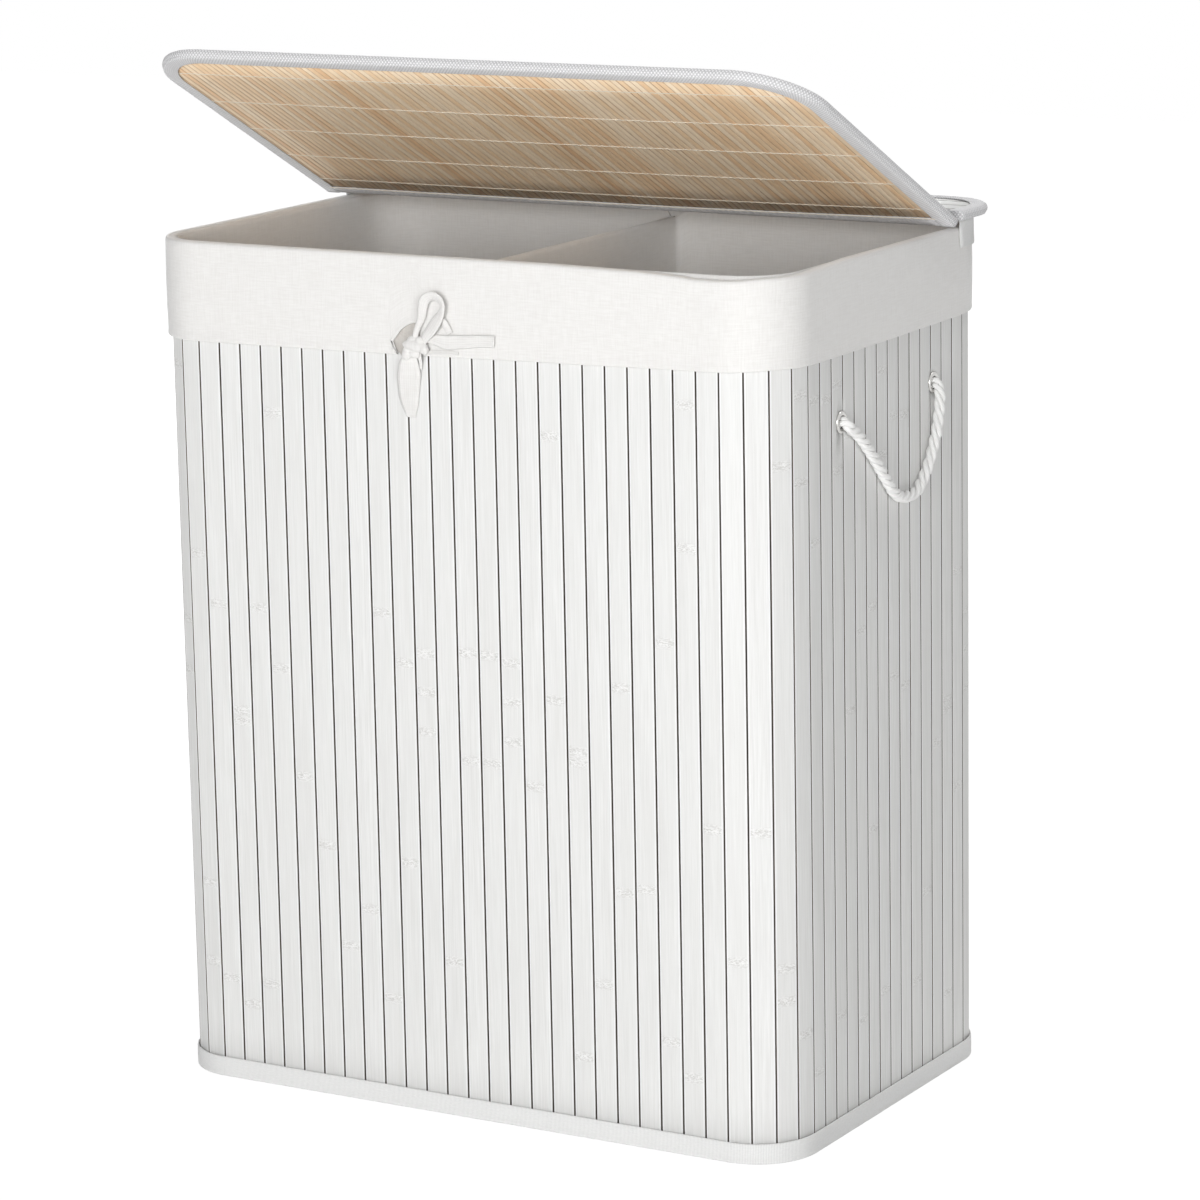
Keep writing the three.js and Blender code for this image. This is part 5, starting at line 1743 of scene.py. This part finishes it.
def make_hinge_cloth(finishes):
    """One cloth from the lid's rear edge, over the hinge line and round the flap's front edge."""

    def on_lid(away, up):
        spot = lid_place @ Vector((0, away * mm, up * mm))
        return (spot.y, spot.z)

    def on_flap(away, up):
        return (hinge.y + away * mm, hinge.z + up * mm)

    web = lid_drop / mm
    section = [
        on_lid(10.25, -7.0), on_lid(9.9, -7.25), on_lid(5, -7.35), on_lid(1.4, -7.3), on_lid(0.6, -6.9),
        on_lid(0.3, -6.2), on_lid(0.25, -3.6), on_lid(0.25, -1.2), on_lid(0.25, web / 2),
        on_lid(0.25, web - 0.9),
        on_flap(0.25, -0.9), on_flap(0.25, -3.6), on_flap(0.3, -6.2), on_flap(0.6, -6.9), on_flap(1.4, -7.2),
        on_flap(9.9, -7.2), on_flap(10.25, -6.9), on_flap(10.2, -6.4), on_flap(1.1, -6.4),
        on_flap(1.05, -1.0),
        on_flap(10.2, -1.0), on_flap(10.25, -0.4), on_flap(9.9, -0.2), on_flap(0.25, -0.15),
        on_lid(1.0, web - 0.3), on_lid(1.05, web / 2), on_lid(1.3, 0.2), on_lid(2.4, -0.15),
        on_lid(9.9, -0.2),
        on_lid(10.25, -0.4), on_lid(10.2, -1.0), on_lid(1.05, -1.0), on_lid(1.1, -6.4), on_lid(10.2, -6.4),
    ]
    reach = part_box("lid_hinge_band")[1].x
    columns = np.linspace(-reach, reach, 110)
    rows = []
    for x in columns:
        row = []
        for i, (y, z) in enumerate(section):
            end = i in (0, 1, len(section) - 1)
            sag = 0.25 * mm * wander(x * 20, i * 0.2, 3.0) - row_bow(-x) if end else 0.0
            row.append((x, y + sag * math.cos(lid_open), z - sag * math.sin(lid_open)))
        rows.append(row)
    mesh = grid_mesh("hinge_cloth", rows, np.append(columns, columns[-1]), closed_lengths(section), False)
    band = new_object("hinge_cloth", mesh, finishes["hinge"])
    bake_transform(band)
    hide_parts("lid_hinge_band", "flap_hinge_band")


def make_skirt(finishes):
    low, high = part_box("rear_skirt")
    w, d, cx, cy = half_width, half_depth, corner_x, corner_y
    quarter = math.pi / 2
    parts = [
        ("line", (w, low.y), (w, cy)), ("arc", (cx, cy), corner_radius, 0, quarter),
        ("line", (cx, d), (-cx, d)), ("arc", (-cx, cy), corner_radius, quarter, quarter),
        ("line", (-w, cy), (-w, low.y)),
    ]
    places, run = open_places(parts)
    section = [
        (3.55 * mm, low.z + 0.1 * mm), (4.3 * mm, low.z), (4.5 * mm, low.z + 0.8 * mm),
        (4.3 * mm, low.z + 6 * mm),
        (4.2 * mm, high.z - 4 * mm), (4.2 * mm, high.z), (3.4 * mm, high.z), (3.4 * mm, high.z - 4 * mm),
        (3.5 * mm, low.z + 6 * mm),
    ]

    def loose(s, x, y, points):
        drop = 0.6 * mm * wander(s * 15, 1.0, 8.0)
        puff = 0.35 * mm * (1 + wander(s * 22, 6.0, 8.0))
        bent = []
        for out, up in points:
            share = (high.z - up) / (high.z - low.z)
            bent.append((out + puff * share, up + drop * share))
        return bent

    mesh = swept_mesh("rear_skirt_cloth", places, run, section, False, loose)
    skirt = settle(
        new_object("rear_skirt_cloth", mesh, finishes["binding"]), "body", "white_edging", "rear_skirt"
    )


# Hidden hard pieces keep their solids and get a finish
def finish_hard_nodes(finishes):
    kept = {
        "steel": ["lower_cross_rod", "upper_cross_rod"],
        "plastic": ["front_right_rod_socket", "rear_right_rod_socket", "rear_left_rod_socket",
                    "front_left_rod_socket"],
        "board": ["base_board", "lid_core_board", "flap_core_board"],
        "nickel": ["right_front_eyelet_washer", "right_rear_eyelet_washer", "left_front_eyelet_washer",
                   "left_rear_eyelet_washer"],
    }
    for finish, nodes in kept.items():
        for node in nodes:
            for held in frame["nodes"][node].material_slots:
                held.material = finishes[finish]


# Floor, backdrop and lights
def add_lamp(name, place, aim, size, energy):
    lamp = bpy.data.objects.new(name, bpy.data.lights.new(name, "AREA"))
    scene.collection.objects.link(lamp)
    lamp.location = place
    lamp.rotation_euler = (Vector(aim) - Vector(place)).to_track_quat("-Z", "Y").to_euler()
    lamp.data.size = size
    lamp.data.energy = energy


def make_studio():
    scene.view_settings.view_transform = "Standard"
    world = bpy.data.worlds.new("studio")
    world.use_nodes = True
    scene.world = world
    tree = world.node_tree
    tree.nodes.clear()
    ray = tree.nodes.new("ShaderNodeLightPath").outputs
    seen = add_node(
        tree, "ShaderNodeMath", {0: ray["Is Camera Ray"], 1: ray["Is Glossy Ray"]}, operation="MAXIMUM"
    )
    clear = add_node(
        tree, "ShaderNodeMath", {0: seen.outputs[0], 1: ray["Is Transmission Ray"]}, operation="MAXIMUM"
    )
    strength = add_node(
        tree, "ShaderNodeMapRange",
        {"Value": clear.outputs[0], "From Min": 0.0, "From Max": 1.0, "To Min": 0.18, "To Max": 1.0},
    )
    glow = add_node(
        tree, "ShaderNodeBackground", {"Color": (1, 1, 1, 1), "Strength": strength.outputs[0]}
    )
    end = tree.nodes.new("ShaderNodeOutputWorld")
    tree.links.new(glow.outputs[0], end.inputs[0])

    floor_mesh = bpy.data.meshes.new("floor")
    floor_mesh.from_pydata([(-6, -6, 0), (6, -6, 0), (6, 6, 0), (-6, 6, 0)], [], [(0, 1, 2, 3)])
    floor_finish = bpy.data.materials.new("studio_floor")
    floor_finish.use_nodes = True
    tree = floor_finish.node_tree
    tree.nodes.clear()
    ray = tree.nodes.new("ShaderNodeLightPath").outputs
    matt = add_node(tree, "ShaderNodeBsdfDiffuse", {"Color": (0.92, 0.92, 0.92, 1)})
    # The far floor gets little light, so its white is a little stronger there
    place = add_node(tree, "ShaderNodeTexCoord").outputs["Object"]
    away = add_node(tree, "ShaderNodeVectorMath", {0: place}, operation="LENGTH").outputs["Value"]
    glow = add_node(
        tree, "ShaderNodeMapRange",
        {"Value": away, "From Min": 0.5, "From Max": 1.6, "To Min": 1.15, "To Max": 1.24},
    ).outputs[0]
    white = add_node(tree, "ShaderNodeEmission", {"Color": (1, 1, 1, 1), "Strength": glow})
    seen = add_node(
        tree, "ShaderNodeMath", {0: ray["Is Camera Ray"], 1: ray["Is Glossy Ray"]}, operation="MAXIMUM"
    )
    share = add_node(tree, "ShaderNodeMath", {0: seen.outputs[0], 1: 0.8}, operation="MULTIPLY")
    mixed = add_node(
        tree, "ShaderNodeMixShader", {0: share.outputs[0], 1: matt.outputs[0], 2: white.outputs[0]}
    )
    end = tree.nodes.new("ShaderNodeOutputMaterial")
    tree.links.new(mixed.outputs[0], end.inputs[0])
    floor = new_object("floor", floor_mesh, floor_finish)

    # A wide soft box before the front, a weaker one beside the camera, one overhead, and one for the
    # views from behind
    add_lamp("key", (0.5, -4.1, 1.0), (0, 0, 0.4), 1.8, 92.0)
    add_lamp("fill", (2.9, -2.3, 1.25), (0, 0, 0.55), 1.2, 34.0)
    add_lamp("top", (0.3, 0.9, 2.6), (0, 0, 0.6), 1.2, 25.0)
    add_lamp("rear", (-2.1, 3.2, 1.2), (0, 0, 0.45), 1.6, 55.0)


make_camera()
finishes = make_finishes()
make_handle(1, "right", finishes)
make_handle(-1, "left", finishes)
make_wall(finishes)
make_bindings(finishes)
make_base_cloth(finishes)
make_cuff(finishes)
make_bin(1, "right_bin_bag", "right_bin_liner", finishes)
make_bin(-1, "left_bin_bag", "left_bin_liner", finishes)
make_divider(finishes)
make_tie(finishes)
cover_trees = (cover_strip_tree(), zigzag_tree())
make_cover("lid", "lid", lid_place, lid_size, cover_trees, finishes)
make_cover("flap", "body", flap_place, flap_size, cover_trees, finishes)
make_hinge_cloth(finishes)
make_skirt(finishes)
finish_hard_nodes(finishes)
make_studio()
